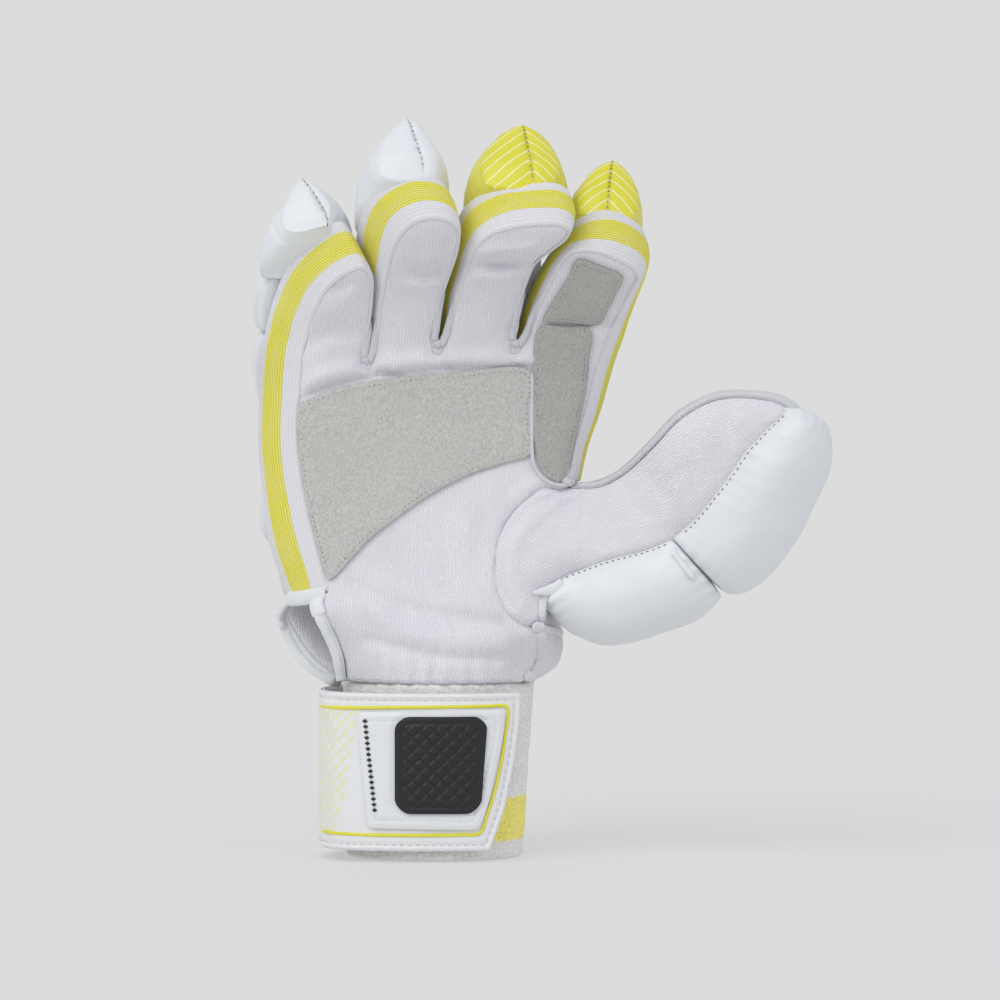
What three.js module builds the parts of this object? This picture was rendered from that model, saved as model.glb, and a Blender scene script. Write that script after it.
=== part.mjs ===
// Cricket batting glove for the right hand, in millimetres, +Z up, palm facing -Y.
// It stands on the open end of its towelling cuff, filled out as if worn.
// The hand is a shell: front and back panels cut to an outline and bent over two
// surfaces (FRONT and BACK), joined by ribbed side strips, with padded rolls outside.
import * as THREE from 'three';

// ---------------------------------------------------------------- driving sizes
const CUFF_TOP = 64; // height of the towelling cuff
const CUFF_RX_TOP = 35; // half width of the cuff at its top
const CUFF_RX_FOOT = 32; // half width at the foot
const CUFF_RY = 27; // half depth
const CUFF_WALL = 2.4; // towelling thickness
const CUFF_LEAN = 1.3; // shift of the centre in x from foot to top
const KNIT_WALL = 1.6; // knitted cloth, doubled at the seams
const STRIP_WALL = 1.6; // side strips between front and back
const SUEDE = 1.1; // palm leather
const SEAM_GAP = 0.3; // clearance between pieces
const PATCH_GAP = 0.7; // clearance under the palm leather, wider for the facets of the knit
const EDGE_DROP = 3; // how far a panel rounds back at its outline
const EDGE_REACH = 9; // width of that rounding
const THUMB_DROP = 5;
const THUMB_REACH = 13;
const STRAP_WALL = 2.4;
const STRAP_FOOT = 4; // height of the strap's lower edge
const STRAP_TOP = 61;

// ---------------------------------------------------------------- tables
// hand profile: height, depth of the palm side, depth of the back
const PROFILE = [
  { z: 50, front: -27, back: 27 },
  { z: 64, front: -27, back: 27 },
  { z: 90, front: -22, back: 18 },
  { z: 110, front: -17.5, back: 14 },
  { z: 140, front: -14, back: 12 },
  { z: 165, front: -15, back: 10 },
  { z: 182, front: -18, back: 5.5 },
  { z: 190, front: -21, back: 3 },
  { z: 202, front: -28, back: -2.5 },
  { z: 212, front: -36, back: -8 },
  { z: 222, front: -46, back: -15.5 },
  { z: 232, front: -56, back: -25 },
  { z: 245, front: -69, back: -38 },
  { z: 258, front: -82, back: -51 },
];
// thumb profile: distance along the thumb, depth of its front and of its back
const THUMB_PROFILE = [
  { u: -20, front: -18, back: 10 },
  { u: 0, front: -20, back: 8 },
  { u: 20, front: -24, back: 2 },
  { u: 40, front: -30, back: -5 },
  { u: 60, front: -35, back: -11 },
  { u: 80, front: -39.5, back: -16 },
  { u: 100, front: -42, back: -20.5 },
  { u: 120, front: -43, back: -25 },
];
// folds and swellings of the palm side: centre, reach in x and z, depth (+ is inward)
const FOLDS = [
  { x: 30, z: 98, rx: 22, rz: 27, d: -7 }, // thumb mound
  { x: 55, z: 194, rx: 14, rz: 2.6, d: 2.6 }, // index crease
  { x: 26, z: 214.5, rx: 16, rz: 2.6, d: 3 }, // middle crease
  { x: -2, z: 211, rx: 10, rz: 3.4, d: 2.2 }, // ring crease
  { x: -35, z: 192, rx: 9, rz: 5, d: 1.8 }, // little crease
  { x: 0, z: 76, rx: 26, rz: 4, d: 1.6 }, // wrist crease
];
// Side strips: stations from the lower left over the tip to the lower right;
// fx, fz on the palm side, bx, bz on the back
const cols = (rows) => rows.map(([fx, fz, bx, bz]) => ({ fx, fz, bx, bz }));
const LITTLE = cols([
  [-39.5, 97, -54, 94.5], [-44.5, 116, -60, 113], [-48.5, 134, -62.5, 132], [-50.5, 152, -64, 150],
  [-49.5, 170, -63.5, 169], [-48, 184.5, -62, 186], [-44.5, 197, -58, 202.5], [-39, 207, -52, 216],
  [-31, 213, -43, 225.5], [-25, 214.5, -34, 230.5], [-21.5, 210.5, -31, 229], [-21.5, 202.5, -32, 220.5],
  [-22.7, 193.5, -32, 206], [-24.5, 186, -31, 193.5], [-25.2, 182, -30, 184.5], [-24.8, 179.5, -28.2, 180.5],
]);
const RING = cols([
  [-24.2, 179.1, -27.4, 180.1], [-22.3, 183, -26.6, 186], [-21, 191.5, -27.8, 197], [-19.5, 202.5, -28.5, 211.5],
  [-16.5, 216, -27.5, 227], [-13.5, 224, -24, 236.5], [-8.5, 229.5, -17.5, 243], [-1.5, 232, -8, 247],
  [6, 231, 1, 246], [9.5, 227.5, 4, 243], [9.5, 221, 3.5, 234], [6.5, 211.5, 1.2, 219],
  [2.5, 200.5, -2, 204], [0.6, 191.5, -2.6, 193.5], [0.2, 188, -1.9, 188.8], [1, 185.5, -0.6, 186],
]);
const MIDDLE = cols([
  [1.6, 185.1, 0, 185.6], [4.2, 189.5, 1, 191.5], [7, 200.5, 1.8, 203], [10.5, 211.5, 4.8, 216],
  [14, 220.5, 7.5, 228], [19.5, 226, 11.5, 236], [29, 229, 21, 241.5], [40, 230, 33.5, 243.5],
  [46, 229.5, 43, 244], [49, 227.5, 48, 241.5], [48, 224, 48.5, 236], [42.5, 219.5, 44, 229],
  [36.5, 214.5, 37.5, 221], [33.2, 206.5, 31, 210], [30, 197, 26.6, 199], [28.2, 190, 26, 191.5],
  [29, 185.9, 28.2, 186.3],
]);
const INDEX = cols([
  [29.6, 185.4, 28.9, 185.8], [33, 189.5, 30.3, 191], [36, 198, 31.8, 199], [40.5, 207.5, 35.5, 208.5],
  [44.8, 215.5, 40.8, 217.5], [49.5, 220, 47.3, 227], [57, 220.5, 53.5, 232.5], [65, 218, 62, 234.5],
  [72, 214, 70.5, 231.5], [74, 210.5, 75.5, 226.5], [72, 206.5, 75.5, 216], [68.5, 199.5, 72.5, 206],
  [64, 189, 69, 191.5], [59.5, 176.5, 64.5, 177], [56, 162.5, 60.5, 162.5], [52, 149.5, 56, 149.5],
  [49.7, 136.6, 53, 136.6],
]);
const THUMB = cols([
  [49.6, 135.1, 53, 134.9], [60, 135.8, 60.5, 136.2], [69, 141, 69.5, 141.5], [78, 150, 78.5, 150.5],
  [88.5, 161, 89, 161.5], [101, 167.5, 101.5, 167.8], [115.5, 168, 116, 167.8], [125.5, 165.5, 127, 165.2],
  [129, 162, 131.5, 160], [126.5, 155, 130, 152], [119, 145, 122.5, 141], [108.5, 131, 112, 126],
  [96, 118.5, 99, 113], [81.5, 110.5, 83, 104], [63.5, 106, 64, 98], [53, 102.8, 54, 94.8],
  [45, 99.6, 47, 92], [40, 95.4, 45, 88], [38.8, 90, 45.5, 84.5], [38.6, 84.6, 46, 80.9],
]);
const WRIST_SIDE = cols([
  [38.6, 83.9, 46, 80.2], [38.6, 78, 46.3, 75], [37.6, 71, 44, 69.5], [35.2, 64.6, 36, 64.6],
]);
// edges of the open slit at the little-finger side of the wrist
const SLIT_FRONT = [[-39.9, 96.6], [-41, 94.5], [-38.5, 88], [-34.8, 80], [-32.4, 72], [-31.8, 64.4]];
const SLIT_BACK = [[-54.2, 94], [-54, 89], [-50.5, 81.5], [-44, 72], [-37, 66.5], [-33, 64.4]];
// where the thumb is set in, palm side and back
const SEAM_FRONT = [
  [49.5, 135.3], [45.5, 134], [40, 134.5], [33.5, 130.5], [27.5, 124.5], [23.5, 117], [22, 108.5], [22.5, 99.5],
  [25.5, 91.5], [30, 86.4], [34.5, 84.3], [38.6, 84.2],
];
const SEAM_BACK = [
  [53, 135.4], [48, 130], [43, 122], [40.5, 111], [40, 100], [41, 91], [42.4, 87.5], [45.8, 81],
];
const PALM_PATCH = [
  [-48.6, 164.5], [-37.5, 169.5], [-23, 172.8], [-8.5, 174.8], [9.5, 176.3], [34.6, 176.4], [34.6, 161],
  [34.6, 147], [25.5, 143.7], [13, 139.5], [-1.5, 132], [-14, 123.5], [-24, 115.5], [-30.5, 108.5], [-37.6, 101.5],
  [-39.6, 106], [-42.7, 117], [-46.6, 134], [-48.6, 151],
];
const INDEX_PATCH = [
  [36, 175], [36, 160], [37, 148], [40, 139.5], [44.5, 136.5], [47.5, 140], [49.8, 150], [52.2, 160],
  [54.2, 170], [55.4, 181], [56, 191.4], [48, 192.2], [38.6, 192.6], [36.4, 184],
];
const TIP_PATCH = [
  [39.4, 195.6], [48, 195.2], [59.4, 194.6], [62, 199], [65.2, 205.5], [67.3, 211], [60, 214.5], [51.5, 217],
  [48.8, 211], [44, 203.5],
];

// padded rolls on the back: x, z of a station on the back surface, half width,
// thickness, and how round the top is (2.4 full, 1.3 a gable)
const rows5 = (rows) => rows.map(([x, z, w, t, e]) => ({ x, z, w, t, e }));
const ROLLS = {
  little_tip_roll: rows5([
    [-46, 211.5, 11, 12, 2.4], [-45.6, 214.5, 16, 19, 2.4], [-45, 220, 17, 21, 2.2],
    [-44.5, 225.5, 14.5, 20, 1.8], [-45, 229.5, 11, 19.5, 1.5], [-45.6, 232, 8.5, 18.5, 1.25],
  ]),
  little_middle_roll: rows5([
    [-49, 191, 11, 12, 2.4], [-48.7, 194, 16.5, 20, 2.4], [-47.7, 201, 17, 22, 2.4], [-46.8, 206.5, 16, 20, 2.4],
    [-46.3, 209.3, 11, 12, 2.4],
  ]),
  little_base_roll: rows5([
    [-49.5, 166, 10, 12, 2.4], [-49.8, 169, 14.5, 19, 2.4], [-49.8, 178, 15.5, 21, 2.4], [-49.4, 186, 15, 19, 2.4],
    [-49.2, 189, 11, 12, 2.4],
  ]),
  ring_tip_roll: rows5([
    [-12.2, 227, 12, 14, 2.4], [-12, 230, 16.5, 22.5, 2.4], [-10.8, 236, 17, 25.5, 2.3],
    [-9.8, 243, 15.5, 26, 1.9], [-9.2, 247.5, 13.5, 25.5, 1.5], [-9, 250, 11, 24.5, 1.25],
  ]),
  ring_middle_roll: rows5([
    [-13, 201, 11, 13, 2.4], [-13, 204, 14, 22, 2.4], [-12.8, 212, 15, 25, 2.4], [-12.4, 221, 15, 22, 2.4],
    [-12.3, 224.4, 12, 13, 2.4],
  ]),
  ring_base_roll: rows5([
    [-16, 176, 9, 12, 2.4], [-15.8, 179, 12.5, 20, 2.4], [-14.5, 188, 13.4, 23, 2.4], [-13.2, 196, 13.4, 20, 2.4],
    [-13, 199, 10.5, 12, 2.4],
  ]),
  middle_tip_roll: rows5([
    [25.5, 222, 12, 14, 2.4], [26.2, 225.5, 16.5, 24, 2.4], [28.5, 232, 18.5, 27.5, 2.4],
    [30.2, 238.5, 18, 29, 2], [31, 243, 15.5, 29, 1.6], [31, 246, 13, 28.5, 1.35],
  ]),
  middle_middle_roll: rows5([
    [18.2, 196, 10.5, 13, 2.4], [19, 199, 13, 22, 2.4], [21.5, 207, 14, 25, 2.4], [24.4, 216, 14.5, 22, 2.4],
    [25.2, 219.6, 12, 13, 2.4],
  ]),
  middle_base_roll: rows5([
    [12.8, 174, 9, 12, 2.4], [13.2, 177, 12, 20, 2.4], [15, 184.5, 12.8, 23, 2.4], [17, 191, 13, 20, 2.4],
    [17.8, 194, 10.5, 12, 2.4],
  ]),
  index_tip_roll: rows5([
    [56.2, 211.5, 10, 12, 2.4], [57.2, 214.5, 13.5, 20, 2.4], [59.5, 221, 15, 24, 2.3],
    [61, 228, 14, 25.5, 2], [61.8, 232, 12.5, 25.5, 1.7], [62, 235, 11, 25, 1.4],
  ]),
  index_middle_roll: rows5([
    [50.5, 187.5, 9.5, 12, 2.4], [51, 190.5, 12.5, 19, 2.4], [53, 198.5, 13.4, 22, 2.4], [55.2, 206, 13, 19, 2.4],
    [56, 209, 10, 12, 2.4],
  ]),
  index_base_roll: rows5([
    [42.5, 168, 9, 12, 2.4], [43.2, 171, 11.5, 18, 2.4], [46, 178, 12.6, 20, 2.4], [49, 182.5, 12.6, 18, 2.4],
    [50, 185.4, 9.5, 12, 2.4],
  ]),
  back_roll_1: rows5([
    [-48.5, 117, 8, 8, 2.4], [-48.7, 121, 11.5, 14, 2.4], [-49.3, 140, 12.5, 17, 2.4], [-49.6, 158, 12.5, 15, 2.4],
    [-49.6, 163, 9, 9, 2.4],
  ]),
  back_roll_2: rows5([
    [-22, 117, 8, 9, 2.4], [-21.9, 121, 11.5, 16, 2.4], [-20.6, 145, 12.5, 19, 2.4], [-18.6, 168, 12, 17, 2.4],
    [-18.2, 173, 9, 10, 2.4],
  ]),
  back_roll_3: rows5([
    [3.5, 117, 8, 9, 2.4], [3.8, 121, 11, 16, 2.4], [6.2, 145, 12.3, 19, 2.4], [8.6, 166, 11.6, 17, 2.4],
    [9.4, 171, 9, 10, 2.4],
  ]),
  back_roll_4: rows5([
    [27.5, 117, 7, 8, 2.4], [28.2, 121, 10, 14, 2.4], [33.5, 142, 11.8, 17, 2.4], [38.6, 160, 11.5, 15, 2.4],
    [39.6, 165, 8.5, 9, 2.4],
  ]),
  wrist_roll_1: rows5([
    [-41, 93, 9, 7, 2.4], [-41.4, 97, 14, 12, 2.4], [-42.2, 104, 15, 13, 2.4], [-42.6, 110, 14, 12, 2.4],
    [-42.7, 114, 9, 7, 2.4],
  ]),
  wrist_roll_2: rows5([
    [-9.5, 93, 9, 7, 2.4], [-9.6, 97, 14.5, 12, 2.4], [-9.8, 104, 15.8, 13, 2.4], [-9.8, 110, 14.5, 12, 2.4],
    [-9.8, 114, 9, 7, 2.4],
  ]),
  wrist_roll_3: rows5([
    [21, 93, 7, 7, 2.4], [21.2, 97, 12.5, 11, 2.4], [21.7, 104, 14, 12, 2.4], [22, 110, 12.5, 11, 2.4],
    [22, 114, 7, 7, 2.4],
  ]),
};
// thumb pads: x, z of a station on the lower edge of the thumb, direction of the
// bulge below the horizontal in degrees, how far it stands out, its fullness, and
// how far round the thumb it wraps (1 = over its back)
const rowsP = (rows) => rows.map(([x, z, dir, w, k, b]) => ({ x, z, dir, w, k, b }));
const THUMB_PADS = {
  thumb_tip_pad: rowsP([
    [129.6, 163.6, 8, 8, 0.35, 1], [128.6, 160, 15, 15.5, 0.75, 1], [122, 149, 20, 25, 0.95, 1], [113.5, 137, 24, 28, 1, 1],
    [105, 127.2, 32, 29.5, 1, 1], [97.2, 119.4, 42, 28.5, 1, 1], [91.6, 115.6, 50, 25, 0.85, 1], [89.4, 114.4, 52, 20, 0.6, 1],
  ]),
  thumb_base_pad: rowsP([
    [87.2, 113.1, 58, 19, 0.6, 1], [84, 111.6, 62, 24.5, 0.88, 1], [76, 109.4, 74, 28, 1, 1], [67, 107, 83, 29, 1, 1],
    [60.5, 105.2, 88, 28, 0.95, 0.9], [53, 102.8, 93, 22.5, 0.8, 0.6], [47, 100.4, 98, 15, 0.6, 0.42], [43, 98.2, 104, 8, 0.4, 0.3],
  ]),
};
// strap, seen from above: centre line of its outer face from the back round the little-finger side to the front
const STRAP_LINE = [
  [22, 31.2], [4, 34], [-14, 33], [-29, 26.5], [-38.5, 14], [-42, 0], [-41, -12], [-36.5, -21.5], [-28, -27.5],
  [-14, -30.6], [2, -31.6], [16, -30.2], [26, -27.2], [33, -23.6],
];
const STRAP_END = [{ z: 4, x: 20.5 }, { z: 22, x: 26.5 }, { z: 48, x: 31 }, { z: 61, x: 31.7 }];

// ---------------------------------------------------------------- helpers
const mix = (a, b, t) => a + (b - a) * t;
const clamp = (v, a, b) => Math.min(b, Math.max(a, v));
const smooth = (a, b, v) => { const t = clamp((v - a) / (b - a), 0, 1); return t * t * (3 - 2 * t); };

function table(rows, key, name, v) { // cubic through the rows, straight beyond them
  const n = rows.length;
  if (v <= rows[0][key]) return rows[0][name];
  let i = 0;
  while (i < n - 2 && v > rows[i + 1][key]) i++;
  const a = rows[Math.max(0, i - 1)], b = rows[i], c = rows[i + 1], d = rows[Math.min(n - 1, i + 2)];
  const h = c[key] - b[key], t = (v - b[key]) / h;
  const m0 = ((c[name] - a[name]) / (c[key] - a[key])) * h;
  const m1 = ((d[name] - b[name]) / (d[key] - b[key])) * h;
  if (t > 1) return c[name] + (t - 1) * m1;
  const t2 = t * t, t3 = t2 * t;
  return (2 * t3 - 3 * t2 + 1) * b[name] + (t3 - 2 * t2 + t) * m0 + (3 * t2 - 2 * t3) * c[name] + (t3 - t2) * m1;
}
function curve(points, step) { // smooth line through the points, evenly spaced
  const c = new THREE.CatmullRomCurve3(points.map((p) => new THREE.Vector3(...p)), false, 'centripetal');
  return c.getSpacedPoints(Math.max(2, Math.round(c.getLength() / step))).map((p) => [p.x, p.y, p.z]);
}
const flat = (pts, step) => curve(pts.map(([x, z]) => [x, z, 0]), step).map(([x, z]) => [x, z]);
function stations(rows, n) { // the strip's two edges, resampled together
  const f = new THREE.CatmullRomCurve3(rows.map((r) => new THREE.Vector3(r.fx, r.fz, 0)), false, 'centripetal');
  const b = new THREE.CatmullRomCurve3(rows.map((r) => new THREE.Vector3(r.bx, r.bz, 0)), false, 'centripetal');
  const out = [];
  const m = 400, at = [];
  let run = 0, last = null;
  for (let i = 0; i <= m; i++) {
    const p = f.getPoint(i / m), q = b.getPoint(i / m);
    if (last) run += (p.distanceTo(last[0]) + q.distanceTo(last[1])) / 2;
    at.push(run); last = [p, q];
  }
  for (let k = 0; k <= n; k++) {
    const want = (run * k) / n;
    let i = 0;
    while (i < m - 1 && at[i + 1] < want) i++;
    const s = (i + clamp((want - at[i]) / Math.max(1e-9, at[i + 1] - at[i]), 0, 1)) / m;
    const p = f.getPoint(s), q = b.getPoint(s);
    out.push({ fx: p.x, fz: p.y, bx: q.x, bz: q.y });
  }
  return out;
}
function away(line, x, z) { // distance to a polyline
  let best = 1e9;
  for (let i = 0; i + 1 < line.length; i++) {
    const [ax, az] = line[i], [bx, bz] = line[i + 1];
    const dx = bx - ax, dz = bz - az;
    const t = clamp(((x - ax) * dx + (z - az) * dz) / Math.max(1e-12, dx * dx + dz * dz), 0, 1);
    best = Math.min(best, Math.hypot(x - ax - t * dx, z - az - t * dz));
  }
  return best;
}
function inside(poly, x, z) {
  let c = false;
  for (let i = 0, j = poly.length - 1; i < poly.length; j = i++) {
    const [xi, zi] = poly[i], [xj, zj] = poly[j];
    if (zi > z !== zj > z && x < ((xj - xi) * (z - zi)) / (zj - zi) + xi) c = !c;
  }
  return c;
}

// ---------------------------------------------------------------- outlines
const STEP = 5.2;
const count = (rows) => {
  let l = 0;
  for (let i = 1; i < rows.length; i++) l += Math.hypot(rows[i].fx - rows[i - 1].fx, rows[i].fz - rows[i - 1].fz);
  return Math.round(l / STEP);
};
const strips = {};
for (const [name, rows] of Object.entries({ LITTLE, RING, MIDDLE, INDEX, THUMB, WRIST_SIDE })) {
  strips[name] = stations(rows, count(rows));
}
const edge = (name, k) => strips[name].map((r) => (k === 'f' ? [r.fx, r.fz] : [r.bx, r.bz]));
const fingers = (k) => ['LITTLE', 'RING', 'MIDDLE', 'INDEX'].flatMap((n) => edge(n, k));
const slitF = flat(SLIT_FRONT, STEP), slitB = flat(SLIT_BACK, STEP);
const seamF = flat(SEAM_FRONT, STEP), seamB = flat(SEAM_BACK, STEP);
const handEdgeF = fingers('f'), handEdgeB = fingers('b');
const thumbEdgeF = edge('THUMB', 'f'), thumbEdgeB = edge('THUMB', 'b');
const wristF = edge('WRIST_SIDE', 'f'), wristB = edge('WRIST_SIDE', 'b');

// ---------------------------------------------------------------- surfaces
const cuffCentre = (z) => CUFF_LEAN * clamp(z / CUFF_TOP, 0, 1.2);
const cuffRx = (z) => mix(CUFF_RX_FOOT, CUFF_RX_TOP, clamp(z / CUFF_TOP, 0, 1.1));
function cuffDepth(x) {
  const u = (x - CUFF_LEAN) / (CUFF_RX_TOP + 2.2);
  return CUFF_RY * Math.sqrt(Math.max(0.03, 1 - u * u));
}
function folds(x, z) {
  let s = 0;
  for (const f of FOLDS) s += f.d * Math.exp(-(((x - f.x) / f.rx) ** 2) - ((z - f.z) / f.rz) ** 2);
  return s;
}
const rounding = (d, drop, reach) => drop * (1 - Math.min(1, d / reach)) ** 2;
function frontBase(x, z) {
  const y = table(PROFILE, 'z', 'front', z) + folds(x, z);
  return mix(-cuffDepth(x), y, smooth(62, 92, z));
}
function backBase(x, z) {
  const k = mix(0.0026, 0.0011, smooth(180, 215, z));
  const y = table(PROFILE, 'z', 'back', z) - k * (x - 5) * (x - 5);
  return mix(cuffDepth(x), y, smooth(62, 92, z));
}
const along = (x, z) => (x - 25.6) * 0.875 + (z - 108.7) * 0.485;
const handFront = (x, z) => frontBase(x, z) + rounding(away(handEdgeF, x, z), EDGE_DROP, EDGE_REACH);
const handBack = (x, z) => backBase(x, z) - rounding(away(handEdgeB, x, z), EDGE_DROP, EDGE_REACH);
function thumbFrontBase(x, z) {
  return mix(frontBase(x, z), table(THUMB_PROFILE, 'u', 'front', along(x, z)), smooth(0, 38, away(seamF, x, z)));
}
function thumbBackBase(x, z) {
  return mix(backBase(x, z), table(THUMB_PROFILE, 'u', 'back', along(x, z)), smooth(0, 38, away(seamB, x, z)));
}
function thumbFront(x, z) {
  const k = smooth(0, 25, away(seamF, x, z));
  return thumbFrontBase(x, z) + rounding(away(thumbEdgeF, x, z), mix(EDGE_DROP, THUMB_DROP, k), mix(EDGE_REACH, THUMB_REACH, k));
}
function thumbBack(x, z) {
  const k = smooth(0, 25, away(seamB, x, z));
  return thumbBackBase(x, z) - rounding(away(thumbEdgeB, x, z), mix(EDGE_DROP, THUMB_DROP, k), mix(EDGE_REACH, THUMB_REACH, k));
}
const H = 0.05;
function slope(f, x, z) { return [(f(x + H, z) - f(x - H, z)) / (2 * H), (f(x, z + H) - f(x, z - H)) / (2 * H)]; }
function onSurface(f, side, x, z, off) { // side -1 faces the palm side, +1 the back
  const [gx, gz] = slope(f, x, z);
  const l = Math.hypot(gx, 1, gz);
  const n = side < 0 ? [gx / l, -1 / l, gz / l] : [-gx / l, 1 / l, -gz / l];
  return [x + n[0] * off, f(x, z) + n[1] * off, z + n[2] * off];
}

// ---------------------------------------------------------------- solids
const root = new THREE.Group();
root.name = 'batting_glove';
function finish(name, points, tris, look) {
  let vol = 0;
  for (const [a, b, c] of tris) {
    const A = points[a], B = points[b], C = points[c];
    vol += A[0] * (B[1] * C[2] - B[2] * C[1]) - A[1] * (B[0] * C[2] - B[2] * C[0]) + A[2] * (B[0] * C[1] - B[1] * C[0]);
  }
  const g = new THREE.BufferGeometry();
  g.setAttribute('position', new THREE.Float32BufferAttribute(points.flat(), 3));
  g.setIndex(tris.flatMap(([a, b, c]) => (vol > 0 ? [a, b, c] : [a, c, b])));
  g.computeVertexNormals();
  const m = new THREE.Mesh(g, new THREE.MeshStandardMaterial({ color: look[0], roughness: look[1], metalness: 0 }));
  m.name = name;
  root.add(m);
  return m;
}
function triangulate(outline, spacing) {
  const pts = outline.map((p) => [...p]);
  let tris = THREE.ShapeUtils.triangulateShape(pts.map((p) => new THREE.Vector2(p[0], p[1])), []);
  const n = pts.length;
  const area = (a, b, c) => (pts[b][0] - pts[a][0]) * (pts[c][1] - pts[a][1]) - (pts[c][0] - pts[a][0]) * (pts[b][1] - pts[a][1]);
  tris = tris.map(([a, b, c]) => (area(a, b, c) > 0 ? [a, b, c] : [a, c, b]));
  const xs = pts.map((p) => p[0]), zs = pts.map((p) => p[1]);
  const dz = spacing * 0.866;
  const loop = [...pts, pts[0]];
  let row = 0;
  for (let z = Math.min(...zs) + dz / 2; z < Math.max(...zs); z += dz, row++) {
    for (let x = Math.min(...xs) + (row % 2 ? spacing / 2 : 0); x < Math.max(...xs); x += spacing) {
      if (!inside(outline, x, z) || away(loop, x, z) < spacing * 0.42) continue;
      pts.push([x, z]);
      const k = pts.length - 1;
      const hit = tris.findIndex(([a, b, c]) => area(a, b, k) > 0.02 && area(b, c, k) > 0.02 && area(c, a, k) > 0.02);
      if (hit < 0) { pts.pop(); continue; }
      const [a, b, c] = tris[hit];
      tris.splice(hit, 1, [a, b, k], [b, c, k], [c, a, k]);
    }
  }
  for (let pass = 0, changed = true; changed && pass < 60; pass++) { // swap diagonals until the triangles are good
    changed = false;
    const edges = new Map();
    tris.forEach((t, i) => t.forEach((a, j) => edges.set(`${a}_${t[(j + 1) % 3]}`, [i, t[(j + 2) % 3]])));
    const used = new Set();
    for (const [key, [i, c]] of edges) {
      const [a, b] = key.split('_').map(Number);
      if (a > b) continue;
      const other = edges.get(`${b}_${a}`);
      if (!other) continue;
      const [j, d] = other;
      if (used.has(i) || used.has(j)) continue;
      if (area(a, d, c) < 1e-3 || area(d, b, c) < 1e-3) continue;
      const ang = (p, q, r) => {
        const ux = pts[p][0] - pts[q][0], uz = pts[p][1] - pts[q][1], vx = pts[r][0] - pts[q][0], vz = pts[r][1] - pts[q][1];
        return Math.acos(clamp((ux * vx + uz * vz) / (Math.hypot(ux, uz) * Math.hypot(vx, vz)), -1, 1));
      };
      if (ang(a, c, b) + ang(a, d, b) > Math.PI + 1e-6) {
        tris[i] = [a, d, c];
        tris[j] = [d, b, c];
        used.add(i); used.add(j);
        changed = true;
      }
    }
  }
  return { pts, tris, n };
}
function panel(name, outline, f, side, outer, inner, spacing, look) {
  if (THREE.ShapeUtils.area(outline.map((p) => new THREE.Vector2(p[0], p[1]))) < 0) outline = [...outline].reverse();
  const { pts, tris, n } = triangulate(outline, spacing);
  const m = pts.length;
  const points = [
    ...pts.map(([x, z]) => onSurface(f, side, x, z, outer)),
    ...pts.map(([x, z]) => onSurface(f, side, x, z, inner)),
  ];
  const all = [...tris, ...tris.map(([a, b, c]) => [a + m, c + m, b + m])];
  for (let i = 0; i < n; i++) {
    const j = (i + 1) % n;
    all.push([j, i, i + m], [j, i + m, j + m]);
  }
  return finish(name, points, all, look);
}
function inset(parts) { // closed outline made of lines, each moved inward by its own clearance
  let loop = parts.flatMap(([line, w]) => line.map(([x, z]) => [x, z, w]));
  if (THREE.ShapeUtils.area(loop.map((p) => new THREE.Vector2(p[0], p[1]))) < 0) loop = [...loop].reverse();
  const n = loop.length, out = [];
  for (let i = 0; i < n; i++) {
    const a = loop[(i + n - 1) % n], b = loop[i], c = loop[(i + 1) % n];
    const u = [b[0] - a[0], b[1] - a[1]], v = [c[0] - b[0], c[1] - b[1]];
    const lu = Math.hypot(...u), lv = Math.hypot(...v);
    const nx = -u[1] / lu - v[1] / lv, nz = u[0] / lu + v[0] / lv;
    const l = Math.hypot(nx, nz) || 1;
    const k = b[2] / Math.max(0.6, l / 2);
    const p = [b[0] + (nx / l) * k, b[1] + (nz / l) * k];
    if (parts.every(([line, w]) => line.length < 2 || away(line, p[0], p[1]) >= w * 0.97)) out.push(p);
  }
  return out.filter((p, i) => {
    const q = out[(i + out.length - 1) % out.length];
    return Math.hypot(p[0] - q[0], p[1] - q[1]) > 1.1;
  });
}
function slab(name, O, I, look) { // two matching grids of points, joined along their rims
  const R = O.length, C = O[0].length, points = [...O.flat(), ...I.flat()], k = R * C, tris = [];
  const id = (i, j) => i * C + j;
  for (let i = 0; i + 1 < R; i++) for (let j = 0; j + 1 < C; j++) {
    const a = id(i, j), b = id(i + 1, j), c = id(i + 1, j + 1), d = id(i, j + 1);
    tris.push([a, b, c], [a, c, d], [a + k, c + k, b + k], [a + k, d + k, c + k]);
  }
  const rim = [];
  for (let i = 0; i + 1 < R; i++) rim.push(id(i, 0));
  for (let j = 0; j + 1 < C; j++) rim.push(id(R - 1, j));
  for (let i = R - 1; i > 0; i--) rim.push(id(i, C - 1));
  for (let j = C - 1; j > 0; j--) rim.push(id(0, j));
  rim.forEach((a, i) => {
    const b = rim[(i + 1) % rim.length];
    tris.push([b, a, a + k], [b, a + k, b + k]);
  });
  return finish(name, points, tris, look);
}
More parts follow.
